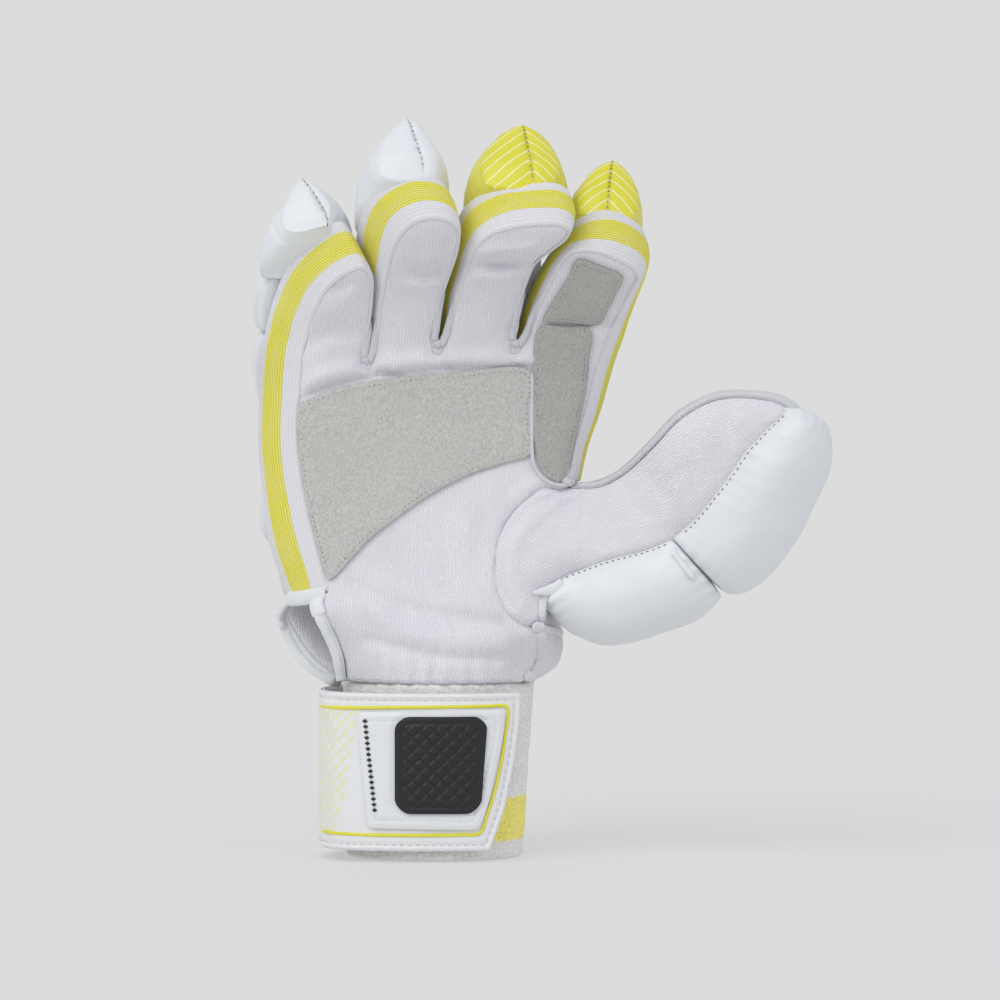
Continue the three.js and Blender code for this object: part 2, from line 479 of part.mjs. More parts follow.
// how far a strip bulges outward: near its first end, over the tip, near its last end
function swelling([first, tip, last], s) {
  const v = s < 0.5 ? mix(first, tip, smooth(0.3, 0.45, s)) : mix(tip, last, smooth(0.55, 0.7, s));
  return v * Math.sin(Math.PI * clamp(s, 0.04, 0.96)) ** 0.4;
}
function strip(name, rows, fFront, fBack, columns, bulge, look, turn = 1) {
  const n = rows.length, O = [], I = [];
  const tangent = (kx, kz, i) => {
    const a = rows[Math.max(0, i - 1)], b = rows[Math.min(n - 1, i + 1)];
    const dx = b[kx] - a[kx], dz = b[kz] - a[kz], l = Math.hypot(dx, dz);
    return [(dz / l) * turn, (-dx / l) * turn];
  };
  rows.forEach((r, i) => {
    const nf = tangent('fx', 'fz', i), nb = tangent('bx', 'bz', i);
    const F = [r.fx, fFront(r.fx, r.fz), r.fz], B = [r.bx, fBack(r.bx, r.bz), r.bz];
    const sf = slope(fFront, r.fx + nf[0], r.fz + nf[1]), sb = slope(fBack, r.bx + nb[0], r.bz + nb[1]);
    const inF = new THREE.Vector3(nf[0], sf[0] * nf[0] + sf[1] * nf[1], nf[1]).normalize();
    const inB = new THREE.Vector3(nb[0], sb[0] * nb[0] + sb[1] * nb[1], nb[1]).normalize();
    const swell = swelling(bulge, i / (n - 1));
    const o = [], q = [];
    for (let j = 0; j <= columns; j++) {
      const t = j / columns;
      const inward = inF.clone().lerp(inB, t).normalize();
      const push = -swell * 4 * t * (1 - t);
      const p = [0, 1, 2].map((c) => mix(F[c], B[c], t) + [inward.x, inward.y, inward.z][c] * push);
      o.push(p);
      q.push([p[0] + inward.x * STRIP_WALL, p[1] + inward.y * STRIP_WALL, p[2] + inward.z * STRIP_WALL]);
    }
    O.push(o); I.push(q);
  });
  return slab(name, O, I, look);
}
function loft(name, rings, look, ends) { // closed rings of equal length, capped at both ends
  const R = rings.length, C = rings[0].length, points = rings.flat(), tris = [];
  for (let i = 0; i + 1 < R; i++) for (let j = 0; j < C; j++) {
    const a = i * C + j, b = i * C + ((j + 1) % C);
    tris.push([a, b, b + C], [a, b + C, a + C]);
  }
  const cap = (i, at, flip) => {
    points.push(at);
    const k = points.length - 1;
    for (let j = 0; j < C; j++) {
      const a = i * C + j, b = i * C + ((j + 1) % C);
      tris.push(flip ? [a, b, k] : [b, a, k]);
    }
  };
  cap(0, ends[0], false);
  cap(R - 1, ends[1], true);
  return finish(name, points, tris, look);
}
const centre = (ring) => [0, 1, 2].map((c) => ring.reduce((s, p) => s + p[c], 0) / ring.length);

// ---------------------------------------------------------------- looks
const KNIT = [0xdedbe2, 0.95], SUEDE_LOOK = [0xc6c8c3, 0.98], ELASTIC = [0xe2da4c, 0.85], WHITE = [0xe6eaed, 0.45];
const YELLOW = [0xdcd838, 0.45], TOWEL = [0xdad7d0, 1], BLACK = [0x16171a, 0.5], BIND = [0xcfcfd4, 0.85];

// ---------------------------------------------------------------- hand shell
const FRONT_GAP = STRIP_WALL + SEAM_GAP;
const footFront = [[32.6, 64.4], [28, 64.4], [16, 64.4], [2, 64.4], [-12, 64.4], [-25, 64.4]];
const footBack = [[33, 64.4], [28, 64.4], [14, 64.4], [0, 64.4], [-14, 64.4], [-26, 64.4]];
const palmLoop = inset([
  [handEdgeF, FRONT_GAP], [seamF.slice(1, -1), 0], [wristF.slice(0, -1), FRONT_GAP],
  [footFront, 0], [slitF.slice(1).reverse(), 0],
]);
const backLoop = inset([
  [handEdgeB, FRONT_GAP], [seamB.slice(1, -1), 0], [wristB.slice(0, -1), FRONT_GAP],
  [footBack, 0], [slitB.slice(1).reverse(), 0],
]);
panel('palm_panel', palmLoop, handFront, -1, 0, -KNIT_WALL, 9, KNIT);
panel('back_panel', backLoop, handBack, 1, 0, -KNIT_WALL, 10, KNIT);
strip('little_side_strip', strips.LITTLE, handFront, handBack, 3, [2.4, 2.2, 0.4], ELASTIC);
strip('ring_side_strip', strips.RING, handFront, handBack, 3, [0.4, 2.2, 0.4], ELASTIC);
strip('middle_side_strip', strips.MIDDLE, handFront, handBack, 3, [0.4, 2.2, 0.4], ELASTIC);
strip('index_side_strip', strips.INDEX, handFront, handBack, 3, [0.4, 2.2, 1.6], ELASTIC);
strip('thumb_side_strip', strips.THUMB, thumbFront, thumbBack, 3, [2, 2, 2], BIND);
strip('wrist_side_strip', strips.WRIST_SIDE, handFront, handBack, 3, [2.5, 2.5, 2.5], KNIT);

const thumbLoopF = inset([[thumbEdgeF, FRONT_GAP], [[...seamF.slice(1, -1)].reverse(), SEAM_GAP]]);
const thumbLoopB = inset([[thumbEdgeB, FRONT_GAP + 0.3], [[...seamB.slice(1, -1)].reverse(), SEAM_GAP]]);
panel('thumb_front_panel', thumbLoopF, thumbFront, -1, 0, -KNIT_WALL, 9, KNIT);
panel('thumb_back_panel', thumbLoopB, thumbBack, 1, 0, -KNIT_WALL, 10, KNIT);

const patch = (pts) => {
  const line = flat([...pts, pts[0]], 6).slice(0, -1);
  return line;
};
panel('palm_patch', patch(PALM_PATCH), handFront, -1, PATCH_GAP + SUEDE, PATCH_GAP, 7, SUEDE_LOOK);
panel('index_patch', patch(INDEX_PATCH), handFront, -1, PATCH_GAP + SUEDE, PATCH_GAP, 6, SUEDE_LOOK);
panel('index_tip_patch', patch(TIP_PATCH), handFront, -1, PATCH_GAP + SUEDE, PATCH_GAP, 5, SUEDE_LOOK);

// ---------------------------------------------------------------- rolls on the back
const SIDES = 9; // facets over the top of a roll
for (const [name, table5] of Object.entries(ROLLS)) {
  const rings = table5.map((r, i) => {
    const a = table5[Math.max(0, i - 1)], b = table5[Math.min(table5.length - 1, i + 1)];
    const c = onSurface(backBase, 1, r.x, r.z, 0.9);
    const top = onSurface(backBase, 1, r.x, r.z, 1.9);
    const n = new THREE.Vector3(top[0] - c[0], top[1] - c[1], top[2] - c[2]);
    const t = new THREE.Vector3(b.x - a.x, backBase(b.x, b.z) - backBase(a.x, a.z), b.z - a.z);
    const across = new THREE.Vector3().crossVectors(t, n).normalize();
    const ring = [];
    for (let j = 0; j <= SIDES; j++) {
      const q = (Math.PI * j) / SIDES;
      const cx = Math.sign(Math.cos(q)) * Math.abs(Math.cos(q)) ** (2 / r.e) * r.w;
      const h = Math.abs(Math.sin(q)) ** (2 / r.e) * r.t;
      ring.push([c[0] + across.x * cx + n.x * h, c[1] + across.y * cx + n.y * h, c[2] + across.z * cx + n.z * h]);
    }
    const mid = [c[0], c[1], c[2]];
    ring.push(mid);
    return ring;
  });
  const look = name.startsWith('middle_tip') || name.startsWith('index_tip') ? YELLOW : WHITE;
  loft(name, rings, look, [centre(rings[0]), centre(rings.at(-1))]);
}

// ---------------------------------------------------------------- thumb pads
// section of a pad: share of how far it stands out, share of its depth from the thumb's front edge to behind it
const PAD_SECTION = [
  [0.06, 0], [0.18, -0.13], [0.42, -0.19], [0.72, -0.1], [0.94, 0.1], [1, 0.36], [0.9, 0.63], [0.64, 0.84], [0.3, 0.95],
  [-0.1, 1], [-0.5, 0.94],
];
const PAD_BACK = 11; // thickness over the back of the thumb
const thumbFine = stations(THUMB, 160);
for (const [name, rows] of Object.entries(THUMB_PADS)) {
  const rings = rows.map((r) => {
    const e = [Math.cos((r.dir * Math.PI) / 180), -Math.sin((r.dir * Math.PI) / 180)];
    let s = thumbFine[0];
    for (const q of thumbFine) if (Math.hypot(q.fx - r.x, q.fz - r.z) < Math.hypot(s.fx - r.x, s.fz - r.z)) s = q;
    const F = [s.fx, thumbFront(s.fx, s.fz), s.fz], B = [s.bx, thumbBack(s.bx, s.bz), s.bz];
    const wrap = smooth(0.82, 1, r.b), clear = (1 - wrap) * 3;
    const E = [0, 1, 2].map((c) => mix(F[c], B[c], r.b)); // where the pad ends round the thumb
    const out = (E[0] - F[0]) * e[0] + (E[2] - F[2]) * e[1]; // the back edge stands out further than the front
    const reach = wrap * Math.min(9, r.w * 0.4) - (1 - wrap) * 3.4;
    const bx = E[0] - e[0] * reach, bz = E[2] - e[1] * reach;
    const under = wrap > 0.5 ? thumbBack(bx, bz) + 3.4 : E[1] + 3.6; // the pad's underside behind the thumb
    const depth = Math.max(E[1] + PAD_BACK * r.k * wrap + 2.4 * (1 - wrap), under + 2 + 5 * r.k * wrap) - F[1];
    const ring = PAD_SECTION.map(([u, v]) => {
      const w = u > 0 ? Math.max(u * r.w, 1.6) : out + u * 2 * reach + clear * 1.4;
      return [F[0] + e[0] * w, F[1] - 0.5 + v * (v < 0 ? r.k * 40 : depth), F[2] + e[1] * w];
    });
    ring.push([bx, under, bz]);
    ring.push([E[0] + e[0] * (0.8 + clear), E[1] + 3, E[2] + e[1] * (0.8 + clear)]);
    ring.push([mix(F[0], E[0], 0.85) + e[0] * 4.6, mix(F[1], E[1], 0.85), mix(F[2], E[2], 0.85) + e[1] * 4.6]);
    ring.push([mix(F[0], E[0], 0.45) + e[0] * 5, mix(F[1], E[1], 0.45), mix(F[2], E[2], 0.45) + e[1] * 5]);
    ring.push([F[0] + e[0] * 3.2, F[1] + 2.2 * r.b, F[2] + e[1] * 3.2]);
    return ring;
  });
  loft(name, rings, WHITE, [centre(rings[0]), centre(rings.at(-1))]);
}

// ---------------------------------------------------------------- slit bindings
function binding(name, line, f, side, width) { // folded leather edge beside a line
  const O = [], I = [];
  const pts = flat(line, 5);
  pts.forEach(([x, z], i) => {
    const a = pts[Math.max(0, i - 1)], b = pts[Math.min(pts.length - 1, i + 1)];
    const l = Math.hypot(b[0] - a[0], b[1] - a[1]);
    const nx = (b[1] - a[1]) / l, nz = -(b[0] - a[0]) / l; // to the left of a line running down
    const o = [], q = [];
    [0.7, width / 2, width].forEach((w, j) => {
      const y = f(x, z) + (side < 0 ? 0.4 : -0.4) * 0;
      const lift = [0, 1, 0.4][j];
      o.push([x + nx * w, y + side * (0.6 + lift), z + nz * w]);
      q.push([x + nx * w, y + side * (-2.2 + lift), z + nz * w]);
    });
    O.push(o); I.push(q);
  });
  return slab(name, O, I, WHITE);
}
binding('slit_binding_front', SLIT_FRONT.slice(1), handFront, -1, 4.6);
binding('slit_binding_back', SLIT_BACK.slice(1), handBack, 1, 4.6);

// ---------------------------------------------------------------- cuff
{
  const N = 40, outer = [], inner = [];
  const levels = [0, 4, 34, CUFF_TOP - 3, CUFF_TOP];
  levels.forEach((z) => {
    const o = [], q = [];
    const roll = z === 0 ? -0.2 : z === CUFF_TOP ? -0.3 : 0;
    for (let i = 0; i < N; i++) {
      const a = (2 * Math.PI * i) / N;
      const rx = cuffRx(z) + roll, ry = CUFF_RY + roll - 0.4 * (1 - z / CUFF_TOP);
      o.push([cuffCentre(z) + rx * Math.cos(a), ry * Math.sin(a), z]);
      q.push([cuffCentre(z) + (rx - CUFF_WALL - roll * 2) * Math.cos(a), (ry - CUFF_WALL - roll * 2) * Math.sin(a), z]);
    }
    outer.push(o); inner.push(q);
  });
  const rings = [...outer, ...inner.reverse()];
  const points = rings.flat(), tris = [], R = rings.length;
  for (let i = 0; i < R; i++) for (let j = 0; j < N; j++) {
    const a = i * N + j, b = i * N + ((j + 1) % N), c = ((i + 1) % R) * N + ((j + 1) % N), d = ((i + 1) % R) * N + j;
    tris.push([a, b, c], [a, c, d]);
  }
  finish('towelling_cuff', points, tris, TOWEL);
}
// ---------------------------------------------------------------- strap
const strapLine = flat(STRAP_LINE, 4.5);
function strapPiece(name, from, to, zs, off, thick, look) { // a band on the strap's path
  const O = [], I = [];
  zs.forEach((z) => {
    const end = to(z), o = [], q = [];
    const line = [];
    let done = false;
    for (let i = from; i < strapLine.length && !done; i++) {
      const p = strapLine[i];
      line.push(p);
      if (i > strapLine.length / 2 && i + 1 < strapLine.length && strapLine[i + 1][0] >= end) {
        const t = (end - p[0]) / (strapLine[i + 1][0] - p[0]);
        line.push([end, mix(p[1], strapLine[i + 1][1], t)]);
        done = true;
      }
    }
    const c = new THREE.CatmullRomCurve3(line.map(([x, y]) => new THREE.Vector3(x, y, 0)));
    const n = strapPiece.count;
    for (let j = 0; j <= n; j++) {
      const p = c.getPointAt(j / n), t = c.getTangentAt(j / n);
      const nx = t.y, ny = -t.x; // outward: the path runs anticlockwise seen from above
      o.push([p.x - nx * off * -1, p.y - ny * off * -1, z]);
      q.push([p.x + nx * (off - thick), p.y + ny * (off - thick), z]);
    }
    O.push(o); I.push(q);
  });
  return slab(name, O, I, look);
}
strapPiece.count = 34;
strapPiece('wrist_strap', 0, (z) => table(STRAP_END, 'z', 'x', z), [STRAP_FOOT, 22, 42, STRAP_TOP], 0, STRAP_WALL, WHITE);

// raised plate and emblem on the strap's front: x and z of their corners
function onStrap(x) { // depth of the strap's outer face at x, on the palm side
  let best = 0;
  for (let i = 0; i + 1 < strapLine.length; i++) {
    const [ax, ay] = strapLine[i], [bx, by] = strapLine[i + 1];
    if (ay < -12 && x >= ax && x <= bx) best = mix(ay, by, (x - ax) / (bx - ax));
  }
  return best;
}
const PLATE = [[-27.5, 54], [-23.5, 12.5], [16, 12], [20, 24], [24.3, 44], [25.3, 55]];
const EMBLEM = [[-13.5, 49.5], [-13.5, 21.5], [-10, 18], [13, 18], [16.5, 21.5], [18.5, 49.5], [15.5, 52.5], [-10, 52.5]];
const strapFace = (x, z) => onStrap(clamp(x, -35, 32));
const spaced = (pts, step) => pts.flatMap((p, i) => {
  const q = pts[(i + 1) % pts.length], n = Math.max(1, Math.round(Math.hypot(q[0] - p[0], q[1] - p[1]) / step));
  return Array.from({ length: n }, (_, k) => [mix(p[0], q[0], k / n), mix(p[1], q[1], k / n)]);
});
panel('strap_plate', spaced(PLATE, 7), strapFace, -1, 1.3, 0.5, 9, WHITE);
panel('strap_emblem', spaced(EMBLEM, 6), strapFace, -1, 2.6, 1.8, 8, BLACK);

// the group's origin is the middle of its footprint
const box = new THREE.Box3().setFromObject(root);
const mid = box.getCenter(new THREE.Vector3());
root.position.set(-mid.x, -mid.y, -box.min.z);
const part = new THREE.Group();
part.name = 'cricket_batting_glove';
part.add(root);
export default part;
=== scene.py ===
import math

import bmesh
import bpy
import numpy as np
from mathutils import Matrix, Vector
from mathutils.geometry import delaunay_2d_cdt


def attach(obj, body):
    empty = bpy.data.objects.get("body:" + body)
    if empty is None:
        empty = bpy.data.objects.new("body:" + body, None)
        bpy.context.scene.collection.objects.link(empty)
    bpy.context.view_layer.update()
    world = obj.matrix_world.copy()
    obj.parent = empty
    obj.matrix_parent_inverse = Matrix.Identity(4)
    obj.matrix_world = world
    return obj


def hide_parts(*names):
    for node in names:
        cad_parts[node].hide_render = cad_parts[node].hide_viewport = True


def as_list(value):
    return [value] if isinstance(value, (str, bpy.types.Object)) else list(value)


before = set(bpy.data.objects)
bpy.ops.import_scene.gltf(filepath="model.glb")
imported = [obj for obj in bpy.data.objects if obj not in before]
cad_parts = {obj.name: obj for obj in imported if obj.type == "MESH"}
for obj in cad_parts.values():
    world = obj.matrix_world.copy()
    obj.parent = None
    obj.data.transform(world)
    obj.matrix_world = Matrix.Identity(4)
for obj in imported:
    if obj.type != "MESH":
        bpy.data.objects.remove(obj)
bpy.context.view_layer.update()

A = np.asarray
OX, OY = -39.58, 9.43  # from the glove's own coordinates (mm) to the frame's

# ------------------------------------------------------------------ sizes (mm)
CUFF_TOP, CUFF_RX_TOP, CUFF_RX_FOOT, CUFF_RY, CUFF_WALL, CUFF_LEAN = 64, 35, 32, 27, 2.4, 1.3
KNIT_WALL, STRIP_WALL, SUEDE, SEAM_GAP, PATCH_GAP = 1.6, 1.6, 1.1, 0.3, 0.7
EDGE_DROP, EDGE_REACH, THUMB_DROP, THUMB_REACH = 3, 9, 5, 13
STRAP_WALL, STRAP_FOOT, STRAP_TOP = 2.4, 4, 61

PROFILE = A([  # height, depth of the palm side, depth of the back
    (50, -27, 27), (64, -27, 27), (90, -22, 18), (110, -17.5, 14), (140, -14, 12), (165, -15, 10), (182, -18, 5.5),
    (190, -21, 3), (202, -28, -2.5), (212, -36, -8), (222, -46, -15.5), (232, -56, -25), (245, -69, -38), (258, -82, -51)], float)
THUMB_PROFILE = A([  # distance along the thumb, depth of its front, of its back
    (-20, -18, 10), (0, -20, 8), (20, -24, 2), (40, -30, -5), (60, -35, -11), (80, -39.5, -16), (100, -42, -20.5), (120, -43, -25)], float)
FOLDS = [  # centre x, z, reach x, z, depth
    (30, 98, 22, 27, -7), (55, 194, 14, 2.6, 2.6), (26, 214.5, 16, 2.6, 3), (-2, 211, 10, 3.4, 2.2), (-35, 192, 9, 5, 1.8),
    (0, 76, 26, 4, 1.6)]
LITTLE = A([[-39.5, 97, -54, 94.5], [-44.5, 116, -60, 113], [-48.5, 134, -62.5, 132], [-50.5, 152, -64, 150],
    [-49.5, 170, -63.5, 169], [-48, 184.5, -62, 186], [-44.5, 197, -58, 202.5], [-39, 207, -52, 216],
    [-31, 213, -43, 225.5], [-25, 214.5, -34, 230.5], [-21.5, 210.5, -31, 229], [-21.5, 202.5, -32, 220.5],
    [-22.7, 193.5, -32, 206], [-24.5, 186, -31, 193.5], [-25.2, 182, -30, 184.5], [-24.8, 179.5, -28.2, 180.5]], float)
RING = A([[-24.2, 179.1, -27.4, 180.1], [-22.3, 183, -26.6, 186], [-21, 191.5, -27.8, 197], [-19.5, 202.5, -28.5, 211.5],
    [-16.5, 216, -27.5, 227], [-13.5, 224, -24, 236.5], [-8.5, 229.5, -17.5, 243], [-1.5, 232, -8, 247],
    [6, 231, 1, 246], [9.5, 227.5, 4, 243], [9.5, 221, 3.5, 234], [6.5, 211.5, 1.2, 219],
    [2.5, 200.5, -2, 204], [0.6, 191.5, -2.6, 193.5], [0.2, 188, -1.9, 188.8], [1, 185.5, -0.6, 186]], float)
MIDDLE = A([[1.6, 185.1, 0, 185.6], [4.2, 189.5, 1, 191.5], [7, 200.5, 1.8, 203], [10.5, 211.5, 4.8, 216],
    [14, 220.5, 7.5, 228], [19.5, 226, 11.5, 236], [29, 229, 21, 241.5], [40, 230, 33.5, 243.5],
    [46, 229.5, 43, 244], [49, 227.5, 48, 241.5], [48, 224, 48.5, 236], [42.5, 219.5, 44, 229],
    [36.5, 214.5, 37.5, 221], [33.2, 206.5, 31, 210], [30, 197, 26.6, 199], [28.2, 190, 26, 191.5],
    [29, 185.9, 28.2, 186.3]], float)
INDEX = A([[29.6, 185.4, 28.9, 185.8], [33, 189.5, 30.3, 191], [36, 198, 31.8, 199], [40.5, 207.5, 35.5, 208.5],
    [44.8, 215.5, 40.8, 217.5], [49.5, 220, 47.3, 227], [57, 220.5, 53.5, 232.5], [65, 218, 62, 234.5],
    [72, 214, 70.5, 231.5], [74, 210.5, 75.5, 226.5], [72, 206.5, 75.5, 216], [68.5, 199.5, 72.5, 206],
    [64, 189, 69, 191.5], [59.5, 176.5, 64.5, 177], [56, 162.5, 60.5, 162.5], [52, 149.5, 56, 149.5],
    [49.7, 136.6, 53, 136.6]], float)
THUMB = A([[49.6, 135.1, 53, 134.9], [60, 135.8, 60.5, 136.2], [69, 141, 69.5, 141.5], [78, 150, 78.5, 150.5],
    [88.5, 161, 89, 161.5], [101, 167.5, 101.5, 167.8], [115.5, 168, 116, 167.8], [125.5, 165.5, 127, 165.2],
    [129, 162, 131.5, 160], [126.5, 155, 130, 152], [119, 145, 122.5, 141], [108.5, 131, 112, 126],
    [96, 118.5, 99, 113], [81.5, 110.5, 83, 104], [63.5, 106, 64, 98], [53, 102.8, 54, 94.8],
    [45, 99.6, 47, 92], [40, 95.4, 45, 88], [38.8, 90, 45.5, 84.5], [38.6, 84.6, 46, 80.9]], float)
WRIST_SIDE = A([[38.6, 83.9, 46, 80.2], [38.6, 78, 46.3, 75], [37.6, 71, 44, 69.5], [35.2, 64.6, 36, 64.6]], float)
SLIT_FRONT = A([[-39.9, 96.6], [-41, 94.5], [-38.5, 88], [-34.8, 80], [-32.4, 72], [-31.8, 64.4]], float)
SLIT_BACK = A([[-54.2, 94], [-54, 89], [-50.5, 81.5], [-44, 72], [-37, 66.5], [-33, 64.4]], float)
SEAM_FRONT = A([[49.5, 135.3], [45.5, 134], [40, 134.5], [33.5, 130.5], [27.5, 124.5], [23.5, 117], [22, 108.5],
    [22.5, 99.5], [25.5, 91.5], [30, 86.4], [34.5, 84.3], [38.6, 84.2]], float)
SEAM_BACK = A([[53, 135.4], [48, 130], [43, 122], [40.5, 111], [40, 100], [41, 91], [42.4, 87.5], [45.8, 81]], float)
PALM_PATCH = A([[-48.6, 164.5], [-37.5, 169.5], [-23, 172.8], [-8.5, 174.8], [9.5, 176.3], [34.6, 176.4], [34.6, 161],
    [34.6, 147], [25.5, 143.7], [13, 139.5], [-1.5, 132], [-14, 123.5], [-24, 115.5], [-30.5, 108.5], [-37.6, 101.5],
    [-39.6, 106], [-42.7, 117], [-46.6, 134], [-48.6, 151]], float)
INDEX_PATCH = A([[36, 175], [36, 160], [37, 148], [40, 139.5], [44.5, 136.5], [47.5, 140], [49.8, 150], [52.2, 160],
    [54.2, 170], [55.4, 181], [56, 191.4], [48, 192.2], [38.6, 192.6], [36.4, 184]], float)
TIP_PATCH = A([[39.4, 195.6], [48, 195.2], [59.4, 194.6], [62, 199], [65.2, 205.5], [67.3, 211], [60, 214.5], [51.5, 217],
    [48.8, 211], [44, 203.5]], float)
ROLLS = {  # x, z of a station on the back surface, half width, thickness, roundness
    "little_tip_roll": [[-46, 210.6, 16.4, 14, 2.4], [-45.6, 214, 17.5, 19, 2.4], [-45, 220, 16.9, 21, 2.2],
        [-44.5, 225.5, 14.8, 20, 1.9], [-45, 229, 12, 19.5, 1.75], [-45.6, 231, 10, 18.5, 1.6]],
    "little_middle_roll": [[-49, 191, 11, 12, 2.4], [-48.7, 194, 16.5, 20, 2.4], [-47.7, 201, 17, 22, 2.4],
        [-46.6, 206.5, 15.6, 20, 2.4], [-46.3, 209.6, 12.5, 14, 2.4]],
    "little_base_roll": [[-49.5, 166, 10, 12, 2.4], [-49.8, 169, 14.5, 19, 2.4], [-49.8, 178, 15.5, 21, 2.4],
        [-49.4, 186, 15, 19, 2.4], [-49.2, 189, 11, 12, 2.4]],
    "ring_tip_roll": [[-12.2, 227, 12, 14, 2.4], [-12, 230, 16.5, 22.5, 2.4], [-10.8, 236, 17, 25.5, 2.3],
        [-9.8, 242, 15.6, 26, 1.95], [-9.2, 246, 14.2, 25.5, 1.75], [-9, 248, 12.6, 24.5, 1.6]],
    "ring_middle_roll": [[-13, 201, 11, 13, 2.4], [-13, 204, 14, 22, 2.4], [-12.8, 212, 15, 25, 2.4],
        [-12.4, 221, 15, 22, 2.4], [-12.3, 224.4, 12, 13, 2.4]],
    "ring_base_roll": [[-16, 176, 9, 12, 2.4], [-15.8, 179, 12.5, 20, 2.4], [-14.5, 188, 13.4, 23, 2.4],
        [-13.2, 196, 13.4, 20, 2.4], [-13, 199, 10.5, 12, 2.4]],
    "middle_tip_roll": [[25.5, 222, 12, 14, 2.4], [26.2, 225.5, 16.5, 24, 2.4], [28.5, 232, 18.5, 27.5, 2.4],
        [30.0, 237.5, 18.4, 28.4, 2.2], [30.6, 241.5, 17, 28.2, 2.0], [30.8, 244, 15.2, 27.5, 1.85]],
    "middle_middle_roll": [[18.2, 196, 10.5, 13, 2.4], [19, 199, 13, 22, 2.4], [21.5, 207, 14, 25, 2.4],
        [24.4, 216, 14.5, 22, 2.4], [25.2, 219.6, 12, 13, 2.4]],
    "middle_base_roll": [[12.8, 174, 9, 12, 2.4], [13.2, 177, 12, 20, 2.4], [15, 184.5, 12.8, 23, 2.4],
        [17, 191, 13, 20, 2.4], [17.8, 194, 10.5, 12, 2.4]],
    "index_tip_roll": [[56.2, 211.5, 10, 12, 2.4], [57.2, 214.5, 13.5, 20, 2.4], [59.5, 221, 15, 24, 2.3],
        [61, 227, 14.2, 25.2, 2.1], [61.8, 231, 13.2, 25, 1.95], [62, 233.4, 12, 24.4, 1.85]],
    "index_middle_roll": [[50.5, 187.5, 9.5, 12, 2.4], [51, 190.5, 12.5, 19, 2.4], [53, 198.5, 13.4, 22, 2.4],
        [55.2, 206, 13, 19, 2.4], [56, 209, 10, 12, 2.4]],
    "index_base_roll": [[42.5, 168, 9, 12, 2.4], [43.2, 171, 11.5, 18, 2.4], [46, 178, 12.6, 20, 2.4],
        [49, 182.5, 12.6, 18, 2.4], [50, 185.4, 9.5, 12, 2.4]],
    "back_roll_1": [[-48.5, 117, 8, 8, 2.4], [-49.2, 121, 14, 14, 2.4], [-49.3, 134, 13, 17, 2.4],
        [-49.6, 158, 12.5, 15, 2.4], [-49.6, 163, 9, 9, 2.4]],
    "back_roll_2": [[-22, 117, 8, 9, 2.4], [-21.9, 121, 11.5, 16, 2.4], [-20.6, 145, 12.5, 19, 2.4],
        [-18.6, 168, 12, 17, 2.4], [-18.2, 173, 9, 10, 2.4]],
    "back_roll_3": [[3.5, 117, 8, 9, 2.4], [3.8, 121, 11, 16, 2.4], [6.2, 145, 12.3, 19, 2.4], [8.6, 166, 11.6, 17, 2.4],
        [9.4, 171, 9, 10, 2.4]],
    "back_roll_4": [[27.5, 117, 7, 8, 2.4], [28.2, 121, 10, 14, 2.4], [33.5, 142, 11.8, 17, 2.4], [38.6, 160, 11.5, 15, 2.4],
        [39.6, 165, 8.5, 9, 2.4]],
    "wrist_roll_1": [[-41, 93, 9, 7, 2.4], [-41.4, 97, 14, 12, 2.4], [-42.2, 104, 15, 13, 2.4], [-42.6, 110, 14, 12, 2.4],
        [-42.7, 114, 9, 7, 2.4]],
    "wrist_roll_2": [[-9.5, 93, 9, 7, 2.4], [-9.6, 97, 14.5, 12, 2.4], [-9.8, 104, 15.8, 13, 2.4], [-9.8, 110, 14.5, 12, 2.4],
        [-9.8, 114, 9, 7, 2.4]],
    "wrist_roll_3": [[21, 93, 7, 7, 2.4], [21.2, 97, 12.5, 11, 2.4], [21.7, 104, 14, 12, 2.4], [22, 110, 12.5, 11, 2.4],
        [22, 114, 7, 7, 2.4]],
}
THUMB_PADS = {  # x, z on the lower edge of the thumb, direction of the bulge, reach, fullness, wrap
    "thumb_tip_pad": [[129.6, 163.6, 8, 7, 0.35, 1], [128.6, 160, 15, 13, 0.75, 1], [122, 149, 20, 21.5, 0.95, 1],
        [113.5, 137, 24, 25, 1, 1], [105, 127.2, 31, 27.5, 1, 1], [97.2, 119.4, 39, 28.5, 1, 1], [91.6, 115.6, 45, 27, 0.85, 1],
        [89.0, 114.2, 46, 24, 0.6, 1]],
    "thumb_base_pad": [[87.6, 113.3, 49, 24, 0.6, 1], [84, 111.6, 58, 27, 0.88, 1], [76, 109.4, 74, 28, 1, 1],
        [67, 107, 83, 29, 1, 1], [60.5, 105.2, 88, 28, 0.95, 0.9], [53, 102.8, 93, 22.5, 0.8, 0.6],
        [47, 100.4, 98, 15, 0.6, 0.42], [43, 98.2, 104, 8, 0.4, 0.3]],
}
PAD_SECTION = A([[0.06, 0], [0.18, -0.13], [0.42, -0.19], [0.72, -0.1], [0.94, 0.1], [1, 0.36], [0.9, 0.63], [0.64, 0.84],
    [0.3, 0.95], [-0.1, 1], [-0.5, 0.94]], float)
PAD_BACK = 11
STRAP_LINE = A([[22, 31.2], [4, 34], [-14, 33], [-29, 26.5], [-38.5, 14], [-42, 0], [-41, -12], [-36.5, -21.5], [-28, -27.5],
    [-14, -30.6], [2, -31.6], [16, -30.2], [26, -27.2], [33, -23.6]], float)
STRAP_END = A([(4, 20.5), (22, 26.5), (48, 31), (61, 31.7)], float)
PLATE = A([[-27.5, 54], [-23.5, 12.5], [16, 12], [20, 24], [24.3, 44], [25.3, 55]], float)
EMBLEM = A([[-13.5, 49.5], [-13.5, 21.5], [-10, 18], [13, 18], [16.5, 21.5], [18.5, 49.5], [15.5, 52.5], [-10, 52.5]], float)


